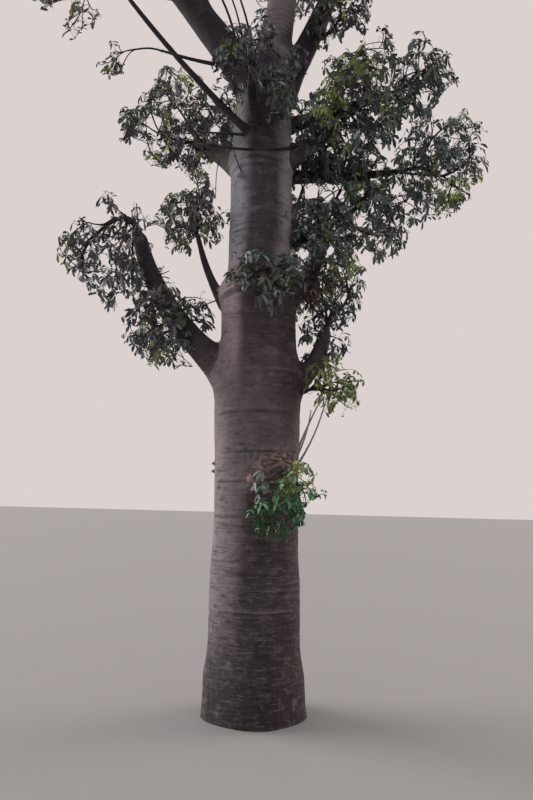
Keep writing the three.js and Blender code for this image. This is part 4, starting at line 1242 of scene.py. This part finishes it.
# Ranges of a tangled twig's place on its limb, heading, rise, bend, sway, length and two radii
TANGLE_RANGES = [
    (0.2, 0.95), (205, 345), (-30, 60), (-110, 30), (-150, 150), (110, 240), (3.5, 6), (2, 3),
]
TANGLE_TWIGS = 46
TANGLE_ON = "right_knob_bough"
TANGLE_SEED = 19
TWIG_STEP = 8  # parts of each stretch of a twig's line
TWIG_RINGS = 9


def drawn(rng, ranges):
    return [rng.uniform(*ends) for ends in ranges]


def tangle_rows():
    """Dead twigs that hang in a tangle at the right knob."""
    rng = np.random.default_rng(TANGLE_SEED)
    return limb_records([(f"tangle_{number}", TANGLE_ON, *drawn(rng, TANGLE_RANGES))
                         for number in range(TANGLE_TWIGS)])


def spur_rows():
    """Short leafy twigs that stand out all round from the limbs."""
    rng = np.random.default_rng(SPUR_SEED)
    rows = []
    for limb, first, last, count, headings in SPURRED_LIMBS:
        for number in range(count):
            sizes = drawn(rng, [(first, last), headings, *SPUR_RANGES])
            rows.append((f"{limb}_spur_{number}", limb, *sizes, *SPUR_RADII))
    return limb_records(rows)


def twig_lines(rows):
    """The lines and radii of a list of twigs."""
    lines = []
    for row in rows:
        line = bough_line(row)
        points, radii = refined(line.points, line.radii, TWIG_STEP)
        picked = np.linspace(0, len(points) - 1, TWIG_RINGS).round().astype(int)
        lines.append((points[picked], radii[picked]))
    return lines


# Leaves

LEAVES_AT_TIP = 5
LEAVES_ALONG = 3
SPUR_LEAVES = 6
SPUR_LEAVES_FROM = 0.5  # where the lowest of them sits, as a share of the way along the spur
ALONG_FROM = 0.38  # the same for a twig's leaves
TIP_STEP = 0.02  # how far apart the leaves at a tip sit
TIP_TILT = (28, 13)  # the first one's, away from the twig, and what each next one adds
ALONG_TILT = 80
LIFT = np.array([0, 0, 0.22])
TURN_SPREAD = 0.2
TILT_SPREAD = 0.14
SPUR_SPREAD = 0.8
SECOND_KIND = 0.4  # the share of the spurs that have the second kind of leaves
GOLDEN_TURN = math.radians(137.5)
PETIOLE = (45, 95)
PETIOLE_SAG = 0.1  # of its length
PETIOLE_ARCH = 0.03
LEAFLET = (54, 88)
LEAFLET_WIDTH = 0.36  # of its length
LEAFLET_SPREAD = math.radians(118)  # of the outermost leaflets, each way from the middle one
LEAFLET_COUNTS = {5: 0.3, 6: 0.35, 7: 0.35}  # how many a leaf has, and how often
OUTER_SHORTER = 0.34  # of its length, how much shorter the outermost leaflet is
SHORTER_POWER = 1.4
LEVEL_SPREAD = 0.12
LEAF_LEAN = (0.1, 1.5)
LEAF_LEAN_SPREAD = 0.25
LEAFLET_TURN_SPREAD = 0.07
LEAFLET_SIZES = (0.92, 1.06)
LEAFLET_DROOP = (0.0, 0.6)
LEAFLET_SAG = (0.05, 0.45)
HUB_RADIUS = 3
STATIONS = np.array([0.3, 0.64, 0.87])
STATION_WIDTHS = np.array([0.6, 1.0, 0.62])
FOLD = 0.22
BEND = 0.12  # of its length, how much a leaflet's bend takes off its reach
LEAST_HEIGHT = 60
LEAF_REACH = 1.02
LEAF_GAP = 10  # between a leaf's hub and the nearest limb
LEAFLET_GAP = 6
CHUNK = 4000
LEAF_SEED = 5
KINDS = ["deep", "dusk", "mid", "olive", "bright", "young", "fresh", "shade", "brown"]
# Shares of the first five kinds, on the right, on the left and in front
RIGHT_SHARES = [0.40, 0.12, 0.31, 0.12, 0.05]
LEFT_SHARES = [0.15, 0.48, 0.23, 0.11, 0.03]
FRONT_SHARES = [0.52, 0.22, 0.20, 0.05, 0.01]
FRONT_MASSES = {"fork_front_foliage", "front_foliage", "front_low_foliage"}
LEFT_FROM = -300
# Masses with fewer leaves, and the share of them kept
SPARSE = {
    "thin_bough_foliage": 0.36, "side_bough_foliage": 0.36, "young_shoot_foliage": 0.75,
    "left_tip_foliage": 0.7, "left_low_foliage": 0.8, "left_foliage": 0.86,
    "upper_right_foliage": 0.86, "right_low_foliage": 0.86,
}
# Left of and above the first place, across and up, the burr's leaves are dull, and right of and above
# the second they are young
BURR_DULL = (60, 1600)
BURR_YOUNG = (230, 1640)
BURR_SHADE = 1540  # the height below which they are in painted shade; above it they are painted lit
# Tufts of young leaves that show: place and reach
YOUNG_TUFTS = [
    ((520, -200, 4740), 170), ((390, -240, 4480), 150), ((-570, -60, 4800), 110),
    ((-330, -120, 4480), 90), ((560, -200, 3400), 150), ((480, -120, 3700), 90), ((700, -160, 3930), 90),
]


def kind_of(grown, twig, rng):
    """Which colour a twig's leaves have."""
    chance = rng.random()
    if grown.mass.name == "young_shoot_foliage":
        return "young"
    if grown.mass.name == "burr_foliage":
        across, _, height = twig.end
        if across < BURR_DULL[0] and height > BURR_DULL[1]:
            return "mid"
        if across > BURR_YOUNG[0] and height > BURR_YOUNG[1]:
            return "young"
        # Painted shade below BURR_SHADE, painted light above it
        return "shade" if height < BURR_SHADE else "fresh"
    if any(math.dist(twig.end, place) < reach for place, reach in YOUNG_TUFTS):
        return "bright"
    shares = LEFT_SHARES if grown.mass.centre[0] < LEFT_FROM else RIGHT_SHARES
    if grown.mass.name in FRONT_MASSES:
        shares = FRONT_SHARES
    return KINDS[int(np.searchsorted(np.cumsum(shares[:-1]), chance))]


def leaf_places(grown, rng):
    """Where each leaf of a mass leaves its twig, which way, of what kind it is and whose."""
    places = []
    for twig in grown.twigs:
        kind = KINDS.index(kind_of(grown, twig, rng))
        start_turn = rng.uniform(0, 2 * math.pi)
        for k in range(LEAVES_AT_TIP + LEAVES_ALONG):
            share = 1 - TIP_STEP * k
            tilt = TIP_TILT[0] + TIP_TILT[1] * k
            if k >= LEAVES_AT_TIP:
                share = 1 - (1 - ALONG_FROM) * (k - LEAVES_AT_TIP + 1) / LEAVES_ALONG
                tilt = ALONG_TILT
            base, axis, _, _ = point_at(twig.points, share)
            side = unit(np.cross(axis, (0.3, 0.2, 1.0)))
            turn = start_turn + GOLDEN_TURN * k + rng.normal(0, TURN_SPREAD)
            round_way = side * math.cos(turn) + np.cross(axis, side) * math.sin(turn)
            tilt = math.radians(tilt) + rng.normal(0, TILT_SPREAD)
            way = unit(axis * math.cos(tilt) + round_way * math.sin(tilt) + LIFT)
            places.append((base, way, kind, grown.index))
    return places


def spur_leaf_places(rng):
    """The same for the spurs and the tangle, whose leaves belong to the nearest mass."""
    places = []
    spurs = (spur_rows(), ("deep", "mid"), SPUR_LEAVES)
    tangle = (tangle_rows(), ("brown",), 1)
    for rows, kinds, count in (spurs, tangle):
        for row in rows:
            points = bough_line(row).points
            away = unit(points[-1] - points[-2])
            owner = int(np.argmin(lengths((CENTRES - points[-1]) / RADII)))
            kind = KINDS.index(kinds[int(rng.random() < SECOND_KIND) % len(kinds)])
            for share in np.linspace(SPUR_LEAVES_FROM, 1, count):
                base = point_at(points, share)[0]
                places.append((base, unit(away + rng.normal(0, SPUR_SPREAD, 3)), kind, owner))
    return places


def fits_space(points, owners, room, on_spur):
    """Whether points keep to the reach of their own masses, unless on a spur, and clear of the limbs."""
    depth = np.where(on_spur, 0, lengths((points - CENTRES[owners]) / RADII[owners]))
    parts = [points[i:i + CHUNK] for i in range(0, len(points), CHUNK)]
    gaps = np.concatenate([limb_gap(part) for part in parts])
    open_room = np.concatenate([gap_room(part) for part in parts])
    return (depth < LEAF_REACH) & (gaps > room) & (open_room > 0) & (points[:, 2] > LEAST_HEIGHT)


def grow_leaves():
    """Petioles, and leaflets with their frames, kept to the reach of their masses."""
    rng = np.random.default_rng(LEAF_SEED)
    places = [place for grown in GROWN for place in leaf_places(grown, rng)]
    loose = len(places)
    places += spur_leaf_places(rng)
    bases, ways, kinds, owners = [np.array(column) for column in zip(*places)]
    count = len(places)
    length = rng.uniform(*PETIOLE, count)
    hubs = bases + ways * length[:, None]
    hubs[:, 2] -= PETIOLE_SAG * length
    elbows = bases + ways * 0.5 * length[:, None]
    elbows[:, 2] += PETIOLE_ARCH * length
    level = unit(ways * (1, 1, 0.0) + rng.normal(0, LEVEL_SPREAD, (count, 3)) * (1, 1, 0))
    normals = unit(np.array([0, 0, 1.0]) + level * rng.uniform(*LEAF_LEAN, count)[:, None]
                   + rng.normal(0, LEAF_LEAN_SPREAD, (count, 3)))
    forward = unit(ways - normals * dot(ways, normals)[:, None])
    shares = np.array([SPARSE.get(mass.name, 1) for mass in MASSES])
    on_spur = np.arange(count) >= loose
    fits = fits_space(hubs, owners, LEAF_GAP, on_spur) & (rng.random(count) < shares[owners])
    leaf_size = rng.uniform(*LEAFLET, count)
    numbers = rng.choice(list(LEAFLET_COUNTS), count, p=list(LEAFLET_COUNTS.values()))
    parts = []
    for n in LEAFLET_COUNTS:
        chosen = np.flatnonzero(fits & (numbers == n))
        many = len(chosen)
        f = forward[chosen]
        u = normals[chosen]
        for place in np.linspace(-1, 1, n):
            turn = place * LEAFLET_SPREAD + rng.normal(0, LEAFLET_TURN_SPREAD, many)
            shorter = 1 - OUTER_SHORTER * abs(place) ** SHORTER_POWER
            size = leaf_size[chosen] * shorter * rng.uniform(*LEAFLET_SIZES, many)
            droop = rng.uniform(*LEAFLET_DROOP, many)
            sag = rng.uniform(*LEAFLET_SAG, many)
            out = f * np.cos(turn)[:, None] + np.cross(u, f) * np.sin(turn)[:, None]
            way = out * np.cos(droop)[:, None] - u * np.sin(droop)[:, None]
            up = u * np.cos(droop)[:, None] + out * np.sin(droop)[:, None]
            parts.append((hubs[chosen] + HUB_RADIUS * way, way, up, size, sag,
                          kinds[chosen], owners[chosen], on_spur[chosen]))
    leaflets = [np.concatenate(column) for column in zip(*parts)]
    hub, way, up, size, sag, _, owner, spur = leaflets
    tips = hub + way * size[:, None]
    tips[:, 2] -= sag * size
    kept = np.full(len(hub), True)
    for points in (tips, 0.5 * (hub + tips)):
        kept &= fits_space(points, owner, LEAFLET_GAP, spur) & ~in_hole(points, owner)
    return np.stack([bases, elbows, hubs], axis=1)[fits], [column[kept] for column in leaflets[:6]]


def leaflet_corners(hub, way, up, size, sag):
    """Eleven corners for each leaflet: a folded blade that narrows to its foot and its tip."""
    side = unit(np.cross(up, way))
    half = 0.5 * LEAFLET_WIDTH * size
    drop = np.array([0, 0, -1.0])

    def spine(share):
        bend = (sag * size * share ** 2)[:, None]
        return hub + way * (size * share * (1 - BEND * share))[:, None] + drop * bend

    corners = [spine(0.0)]
    for share, wide in zip(STATIONS, STATION_WIDTHS):
        middle = spine(share)
        edge = side * (half * wide)[:, None]
        lift = up * (half * wide * FOLD * 2)[:, None]
        corners += [middle + edge + lift, middle, middle - edge + lift]
    corners.append(spine(1.0))
    return np.stack(corners, axis=1)


LEAFLET_TRIANGLES = [(0, 3, 2), (0, 2, 1), (8, 10, 7), (9, 10, 8)]
LEAFLET_QUADS = [(2, 5, 4, 1), (3, 6, 5, 2), (5, 8, 7, 4), (6, 9, 8, 5)]
LEAFLET_CORNERS = 11
ALONG_BLADE = np.array([0, *np.repeat(STATIONS, 3), 1])
ACROSS_BLADE = np.array([0.5, *np.tile([0, 0.5, 1.0], 3), 0.5])


def leaf_piece(name, leaflets):
    """All leaflets of one colour as one mesh."""
    corners = leaflet_corners(*leaflets[:5])
    start = (np.arange(len(corners)) * LEAFLET_CORNERS)[:, None, None]
    triangles = (start + np.array(LEAFLET_TRIANGLES)).reshape(-1, 3)
    quads = (start + np.array(LEAFLET_QUADS)).reshape(-1, 4)
    piece = mesh_object(name, corners.reshape(-1, 3), triangles.tolist() + quads.tolist())
    layer = piece.data.uv_layers.new(name="blade")
    order = np.concatenate([triangles.ravel(), quads.ravel()]) % LEAFLET_CORNERS
    layer.uv.foreach_set("vector", np.column_stack([ALONG_BLADE[order], ACROSS_BLADE[order]]).ravel())
    return piece


# Materials

class Graph:
    """The nodes of a material or of the sky, each added with its inputs' values or sources."""

    def __init__(self, tree):
        self.nodes = tree.nodes
        self.links = tree.links

    def add(self, kind, output, inputs, **settings):
        node = self.nodes.new(kind)
        for name, value in settings.items():
            setattr(node, name, value)
        for name, value in inputs.items():
            if isinstance(value, bpy.types.NodeSocket):
                self.links.new(value, node.inputs[name])
            else:
                node.inputs[name].default_value = value
        return node.outputs[output]

    def place(self):
        return self.add("ShaderNodeTexCoord", "Object", {})

    def axis(self, vector, name):
        return self.add("ShaderNodeSeparateXYZ", name, {0: vector})

    def noise(self, vector, scale, detail=3.0, stretch=(1, 1, 1), rough=0.55):
        place = self.add("ShaderNodeMapping", "Vector", {"Vector": vector, "Scale": stretch})
        return self.add("ShaderNodeTexNoise", "Fac",
                        {"Vector": place, "Scale": scale, "Detail": detail, "Roughness": rough})

    def ramp(self, value, low, high):
        """A smooth step from 0 at low to 1 at high."""
        return self.add("ShaderNodeMapRange", "Result",
                        {"Value": value, "From Min": low, "From Max": high},
                        interpolation_type="SMOOTHSTEP")

    def math(self, operation, first, second=0):
        return self.add("ShaderNodeMath", 0, {0: first, 1: second}, operation=operation)

    def times(self, first, second):
        return self.math("MULTIPLY", first, second)

    def mix(self, share, below, above, amount=1.0):
        """Colours mixed by a share; a colour may be an output or plain numbers."""
        first, last = [(*colour, 1) if isinstance(colour, tuple) else colour for colour in (below, above)]
        return self.add("ShaderNodeMix", 2, {0: self.times(share, amount), 6: first, 7: last},
                        data_type="RGBA")

    def bump(self, height, strength, distance, **below):
        return self.add("ShaderNodeBump", "Normal",
                        {"Height": height, "Strength": strength, "Distance": distance, **below})

    def attribute(self, name):
        return self.add("ShaderNodeAttribute", "Fac", {}, attribute_name=name)


def new_material(name):
    """A material, its nodes and the inputs of its shader."""
    material = bpy.data.materials.new(name)
    material.use_nodes = True
    graph = Graph(material.node_tree)
    return material, graph, graph.nodes["Principled BSDF"].inputs


BARK_GLOSS = 0.2
BARK_GREY = (0.158, 0.125, 0.136)
# Darker bark; toward the foot partly its own colour, partly painted shade
BARK_DARK = (0.062, 0.053, 0.056)
BARK_PINK = (0.165, 0.116, 0.124)
BARK_BROWN = (0.094, 0.066, 0.066)
BARK_PALE = (0.300, 0.248, 0.258)
BARK_OLIVE = (0.105, 0.096, 0.072)
# Darkest bark, for dark flecks and lines, and for painted shade in hollows and at the foot
BARK_CREASE = (0.026, 0.020, 0.023)
# Painted shade under the crown and on the boughs
BARK_SHADE = (0.046, 0.042, 0.058)
BARK_ROSE = (0.400, 0.270, 0.250)
# Painted light on the trunk's left flank high up: the first above 3.5 m, the second below 3.1 m
BARK_FLANK_LIGHT = (0.370, 0.360, 0.412)
BARK_LOW_FLANK_LIGHT = (0.560, 0.440, 0.455)
# Painted light on the trunk's left side lower down, and on a band round it near 2 m
BARK_SIDE_LIGHT = (0.360, 0.312, 0.325)
BARK_RUST = (0.052, 0.031, 0.030)
# Painted light on the trunk's right edge above 3.1 m
BARK_RIGHT_LIGHT = (0.640, 0.570, 0.580)


def bark_material(name, dark_share, trunk_share):
    """Grey bark with pinkish, brown and olive patches, rings round the limb, threads up it, and pores.

    The trunk alone has painted light on its flanks high up, on its left side lower down and on a band
    round it near 2 m, and rust-coloured bark on its right. Toward the foot the bark is darker, partly its
    own colour and partly painted shade, with a painted shadow at the ground; above 2.5 m, under the crown,
    painted shade darkens it, and the boughs get more painted shade through dark_share and above 4.2 m.
    """
    material, graph, inputs = new_material(name)
    ramp = graph.ramp
    place = graph.place()
    height = graph.axis(place, "Z")
    broad = graph.noise(place, 1.5, 4, (1, 1, 0.5))
    blush = graph.noise(place, 3.1, 4, (1, 1, 0.45))
    tan = graph.noise(place, 2.2, 4, (1, 1, 0.4))
    moss = graph.noise(place, 1.9, 3, (1, 1, 0.8))
    blotch = graph.noise(place, 12, 5, (1, 1, 1.5), 0.65)
    mottle = graph.noise(place, 36, 4, (1, 1, 1.3), 0.7)
    dash = graph.noise(place, 8, 3, (1, 1, 11), 0.55)
    streak = graph.noise(place, 3.4, 6, (1, 1, 16), 0.66)
    thread = graph.noise(place, 4.5, 4, (6, 6, 0.9), 0.6)
    cells = graph.add("ShaderNodeTexVoronoi", "Distance", {"Vector": place, "Scale": 9})
    flank = graph.math("ADD", graph.axis(place, "X"), graph.times(broad, 0.3))
    # Masks of the trunk's left side, where light is painted on, and of its right edge, painted lit high up
    # and rust-coloured lower down
    lit = graph.times(ramp(flank, 0.04, -0.05), trunk_share)
    right = graph.times(ramp(flank, 0.20, 0.34), trunk_share)
    flank_light = graph.mix(ramp(height, 3.5, 3.1), BARK_FLANK_LIGHT, BARK_LOW_FLANK_LIGHT)
    rough = graph.math("ADD", graph.times(ramp(height, 2.2, 0.7), 0.6), 0.4)
    some = ramp(blotch, 0.44, 0.54)
    # Each tint, how strong it is, and where it is: the product of the values that follow
    tints = [
        (BARK_PINK, 0.7, ramp(blush, 0.46, 0.62), graph.math("ADD", ramp(height, 3.2, 0.4), 0.3)),
        (BARK_BROWN, 0.6, ramp(tan, 0.55, 0.42)),
        (BARK_OLIVE, 0.7, ramp(moss, 0.58, 0.70)),
        # Painted shade under the crown, above 2.5 m
        (BARK_SHADE, 0.6, ramp(height, 2.5, 3.3)),
        # Darker toward the foot, partly the bark's own colour and partly painted shade, and at the ground
        # a painted shadow
        (BARK_DARK, 0.9, ramp(height, 1.7, 0.3)),
        (BARK_CREASE, 0.6, ramp(height, 0.55, 0.0)),
        # More painted shade on the boughs above 4.2 m
        (BARK_SHADE, 0.6, ramp(height, 4.2, 4.7), 1 - trunk_share),
        # Painted light on the trunk's left flank, lower down and high up
        (BARK_SIDE_LIGHT, 0.45, lit, ramp(height, 2.4, 1.2), ramp(height, 0.35, 0.9)),
        (flank_light, 0.9, lit, ramp(height, 2.35, 2.75)),
        # Painted light on the trunk's right edge above 3.1 m
        (BARK_RIGHT_LIGHT, 0.9, right, ramp(height, 3.1, 3.4)),
        (BARK_RUST, 0.82, right, ramp(height, 3.1, 2.7)),
        # Painted light on a band round the trunk from 1.4 to 2.5 m
        (BARK_SIDE_LIGHT, 0.18, trunk_share, ramp(height, 1.4, 1.9), ramp(height, 2.5, 2.1)),
        (BARK_PALE, 0.35, ramp(blotch, 0.52, 0.68)),
        (BARK_CREASE, 0.35, ramp(blotch, 0.48, 0.32)),
        (BARK_PALE, 0.2, rough, ramp(mottle, 0.54, 0.68)),
        (BARK_CREASE, 0.4, rough, ramp(mottle, 0.46, 0.30)),
        (BARK_PALE, 0.36, rough, ramp(dash, 0.58, 0.70)),
        (BARK_CREASE, 0.7, rough, ramp(dash, 0.44, 0.34)),
        (BARK_CREASE, 0.5, rough, ramp(streak, 0.45, 0.32)),
        (BARK_PALE, 0.4, rough, ramp(streak, 0.58, 0.72)),
        (BARK_CREASE, 0.5, ramp(thread, 0.56, 0.66), ramp(height, 1.9, 0.4)),
        (BARK_PALE, 0.16, some, ramp(cells, 0.26, 0.16)),
        (BARK_CREASE, 0.6, some, ramp(cells, 0.13, 0.08)),
        (BARK_PALE, 0.78, graph.attribute("pale")),
        (BARK_ROSE, 0.8, graph.attribute("burr")),
        # Painted shade in hollows, dents and on shaded limbs, and dark marks
        (BARK_CREASE, 0.8, graph.attribute("dark_marks_and_shade")),
    ]
    # A higher dark_share gives more of the darker bark: on the boughs it is painted shade
    colour = graph.mix(ramp(broad, 0.32 + dark_share, 0.56 + dark_share), BARK_DARK, BARK_GREY)
    for tint, amount, share, *others in tints:
        for other in others:
            share = graph.times(share, other)
        colour = graph.mix(share, colour, tint, amount)
    graph.links.new(colour, inputs["Base Color"])
    grain = graph.noise(place, 60, 5, (1, 1, 1.6), 0.7)
    fine = graph.bump(grain, 0.4, 0.003)
    wrinkles = graph.bump(streak, 0.5, 0.008, Normal=fine)
    graph.links.new(graph.bump(blotch, 0.5, 0.012, Normal=wrinkles), inputs["Normal"])
    graph.links.new(graph.math("ADD", graph.times(blotch, 0.2), 0.68), inputs["Roughness"])
    inputs["Specular IOR Level"].default_value = BARK_GLOSS
    return material


# The darkest and the palest colour of each kind of twig
TWIG_COLOURS = {
    "twig_bark": ((0.026, 0.022, 0.026), (0.060, 0.050, 0.048)),
    "bare_twig_bark": ((0.026, 0.022, 0.028), (0.070, 0.058, 0.062)),
    "burr_shoot_bark": ((0.280, 0.230, 0.205), (0.420, 0.360, 0.320)),
    "dead_twig": ((0.085, 0.050, 0.046), (0.170, 0.110, 0.095)),
    "petiole": ((0.050, 0.060, 0.026), (0.100, 0.090, 0.045)),
}


def twig_material(name):
    material, graph, inputs = new_material(name)
    place = graph.place()
    patches = graph.ramp(graph.noise(place, 9, 3), 0.35, 0.68)
    graph.links.new(graph.mix(patches, *TWIG_COLOURS[name]), inputs["Base Color"])
    graph.links.new(graph.bump(graph.noise(place, 90, 4), 0.4, 0.002), inputs["Normal"])
    inputs["Roughness"].default_value = 0.8
    inputs["Specular IOR Level"].default_value = BARK_GLOSS
    return material


GLINT = 1.9  # how much lighter the palest leaflets are painted: a painted glint
GLINT_FROM = (0.76, 0.98)
PALE_VEIN = 1.5
VEINS = 56
# The darkest and the palest colour of each kind of leaf
LEAF_COLOURS = {
    "deep": ((0.030, 0.050, 0.056), (0.140, 0.175, 0.185)),
    "dusk": ((0.036, 0.026, 0.046), (0.125, 0.112, 0.145)),
    "mid": ((0.056, 0.072, 0.066), (0.195, 0.215, 0.185)),
    "olive": ((0.105, 0.120, 0.060), (0.230, 0.250, 0.125)),
    "bright": ((0.220, 0.290, 0.085), (0.430, 0.500, 0.190)),
    "young": ((0.120, 0.160, 0.046), (0.250, 0.300, 0.105)),
    # The burr's green, painted lit above BURR_SHADE and painted shaded below it
    "fresh": ((0.020, 0.070, 0.036), (0.120, 0.290, 0.130)),
    "shade": ((0.004, 0.026, 0.015), (0.046, 0.140, 0.058)),
    "brown": ((0.050, 0.028, 0.028), (0.125, 0.078, 0.068)),
}
YOUNG_KINDS = ("young", "bright")


def leaf_material(kind):
    """Green that differs from leaflet to leaflet, with a painted glint on the palest, and a paler midrib
    and side veins.
    """
    base, light = LEAF_COLOURS[kind]
    material, graph, inputs = new_material(f"leaf_{kind}")
    blade = graph.add("ShaderNodeUVMap", "UV", {}, uv_map="blade")
    away = graph.math("ABSOLUTE", graph.math("SUBTRACT", graph.axis(blade, "Y"), 0.5))
    slanted = graph.math("SUBTRACT", graph.axis(blade, "X"), graph.times(away, 0.5))
    veins = graph.ramp(graph.math("SINE", graph.times(slanted, VEINS)), 0.86, 1.0)
    island = graph.add("ShaderNodeNewGeometry", "Random Per Island", {})
    patches = graph.noise(graph.place(), 5, 3)
    mixed = graph.math("ADD", graph.times(island, 0.6), graph.times(patches, 0.4))
    pale = tuple(PALE_VEIN * c + 0.015 for c in light)
    painted_glint = tuple(GLINT * c + 0.01 for c in light)
    colour = graph.mix(mixed, base, light)
    # A random share of the leaflets is painted paler: a painted glint
    colour = graph.mix(graph.ramp(island, *GLINT_FROM), colour, painted_glint)
    colour = graph.mix(graph.ramp(away, 0.07, 0.02), colour, pale, 0.6)
    colour = graph.mix(veins, colour, pale, 0.25)
    graph.links.new(colour, inputs["Base Color"])
    graph.links.new(graph.bump(veins, 0.25, 0.001), inputs["Normal"])
    inputs["Roughness"].default_value = 0.48
    return material


def finish_piece(piece, material, slot, nodes):
    piece.data.materials.clear()
    piece.data.materials.append(material)
    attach(piece, BODY)
    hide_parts(*nodes)


PETIOLE_RADII = (1.9, 1.5, 1.6)


def build_tree():
    limb_names = [bough.name for bough in BOUGHS]
    mass_names = [mass.name for mass in MASSES]
    trunk_piece, bough_piece = wood_pieces()
    finish_piece(trunk_piece, bark_material("trunk_bark", 0.0, 1), "bark", ["trunk"])
    finish_piece(bough_piece, bark_material("bough_bark", 0.06, 0), "bark", limb_names)
    shoots = [row for row in BARE_TWIGS if "burr" in row.name]
    others = [row for row in BARE_TWIGS if "burr" not in row.name]
    stalks, leaflets = grow_leaves()
    stalk_lines = [(stalk, PETIOLE_RADII) for stalk in stalks]
    barks = {name: twig_material(name) for name in TWIG_COLOURS}
    for name, lines, sides, colours, slot, nodes in (
            ("twigs", TWIGS, 4, "twig_bark", "bark", mass_names),
            ("bare_twigs", twig_lines(others), 6, "bare_twig_bark", "bark", limb_names),
            ("burr_shoots", twig_lines(shoots), 6, "burr_shoot_bark", "bark", ["burr_foliage"]),
            ("spurs", twig_lines(spur_rows()), 5, "twig_bark", "bark", limb_names),
            ("dead_tangle", twig_lines(tangle_rows()), 4, "dead_twig", "bark", [TANGLE_ON]),
            ("petioles", stalk_lines, 3, "petiole", "leaves", mass_names)):
        finish_piece(mesh_object(name, *tubes(*zip(*lines), sides)), barks[colours], slot, nodes)
    for number, kind in enumerate(KINDS):
        chosen = leaflets[5] == number
        piece = leaf_piece(f"{kind}_leaves", [column[chosen] for column in leaflets])
        slot = "young_leaves" if kind in YOUNG_KINDS else "leaves"
        finish_piece(piece, leaf_material(kind), slot, mass_names)


# Floor, light and camera

FLOOR_SIZE = 160
FLOOR_COLOUR = (0.34, 0.33, 0.325)
FLOOR_DARKER = 0.97


def build_floor():
    bpy.ops.mesh.primitive_plane_add(size=FLOOR_SIZE)
    floor = bpy.context.object
    floor.name = "floor"
    material, graph, inputs = new_material("floor")
    grain = graph.noise(graph.place(), 3, 4)
    darker = tuple(FLOOR_DARKER * c for c in FLOOR_COLOUR)
    graph.links.new(graph.mix(grain, darker, FLOOR_COLOUR), inputs["Base Color"])
    inputs["Roughness"].default_value = 0.9
    floor.data.materials.append(material)


def add_light(name, place, spread, power, colour):
    """A soft light from far away, from the side that place is on."""
    lamp = bpy.data.lights.new(name, "SUN")
    lamp.angle = math.radians(spread)
    lamp.energy = power
    lamp.color = colour
    thing = add_object(name, lamp)
    thing.location = place
    thing.rotation_euler = Vector(place).to_track_quat("Z", "Y").to_euler()


# The sky is brighter behind the tree than before it
SKY_BEHIND = (0.71, 0.645, 0.63)
SKY_BEFORE = (0.46, 0.44, 0.45)
SKY_TURN = (-0.4, 0.45)


def build_light():
    world = bpy.data.worlds.new("studio")
    bpy.context.scene.world = world
    world.use_nodes = True
    graph = Graph(world.node_tree)
    way = graph.add("ShaderNodeTexCoord", "Generated", {})
    behind = graph.ramp(graph.axis(way, "Y"), *SKY_TURN)
    sky = graph.mix(behind, SKY_BEFORE, SKY_BEHIND)
    graph.links.new(sky, graph.nodes["Background"].inputs["Color"])
    add_light("key", (-12, 3.5, 4.5), 50, 3.0, (1.0, 0.96, 0.95))
    add_light("rim", (12, 6, 5), 40, 1.15, (1.0, 0.93, 0.9))


SENSOR_WIDTH = 36
FARTHEST_SEEN = 400


def build_camera():
    camera = bpy.data.cameras.new("camera")
    camera.sensor_width = SENSOR_WIDTH
    camera.lens = FOCAL / PHOTO_HEIGHT * camera.sensor_width
    camera.shift_y = (CENTRE_ROW - PHOTO_HEIGHT / 2) / PHOTO_HEIGHT
    camera.clip_end = FARTHEST_SEEN
    thing = add_object("camera", camera)
    right = np.array([1.0, 0, 0])
    ahead = np.array([0, math.cos(PITCH), math.sin(PITCH)])
    up = np.array([0, -math.sin(PITCH), math.cos(PITCH)])
    turned_right = right * math.cos(ROLL) + up * math.sin(ROLL)
    turned_up = up * math.cos(ROLL) - right * math.sin(ROLL)
    turn = Matrix(np.column_stack([turned_right, turned_up, -ahead]).tolist()).to_4x4()
    thing.matrix_world = Matrix.Translation(CAMERA_PLACE) @ turn
    bpy.context.scene.camera = thing


build_camera()
build_tree()
build_floor()
build_light()
bpy.context.scene.view_settings.view_transform = "Standard"
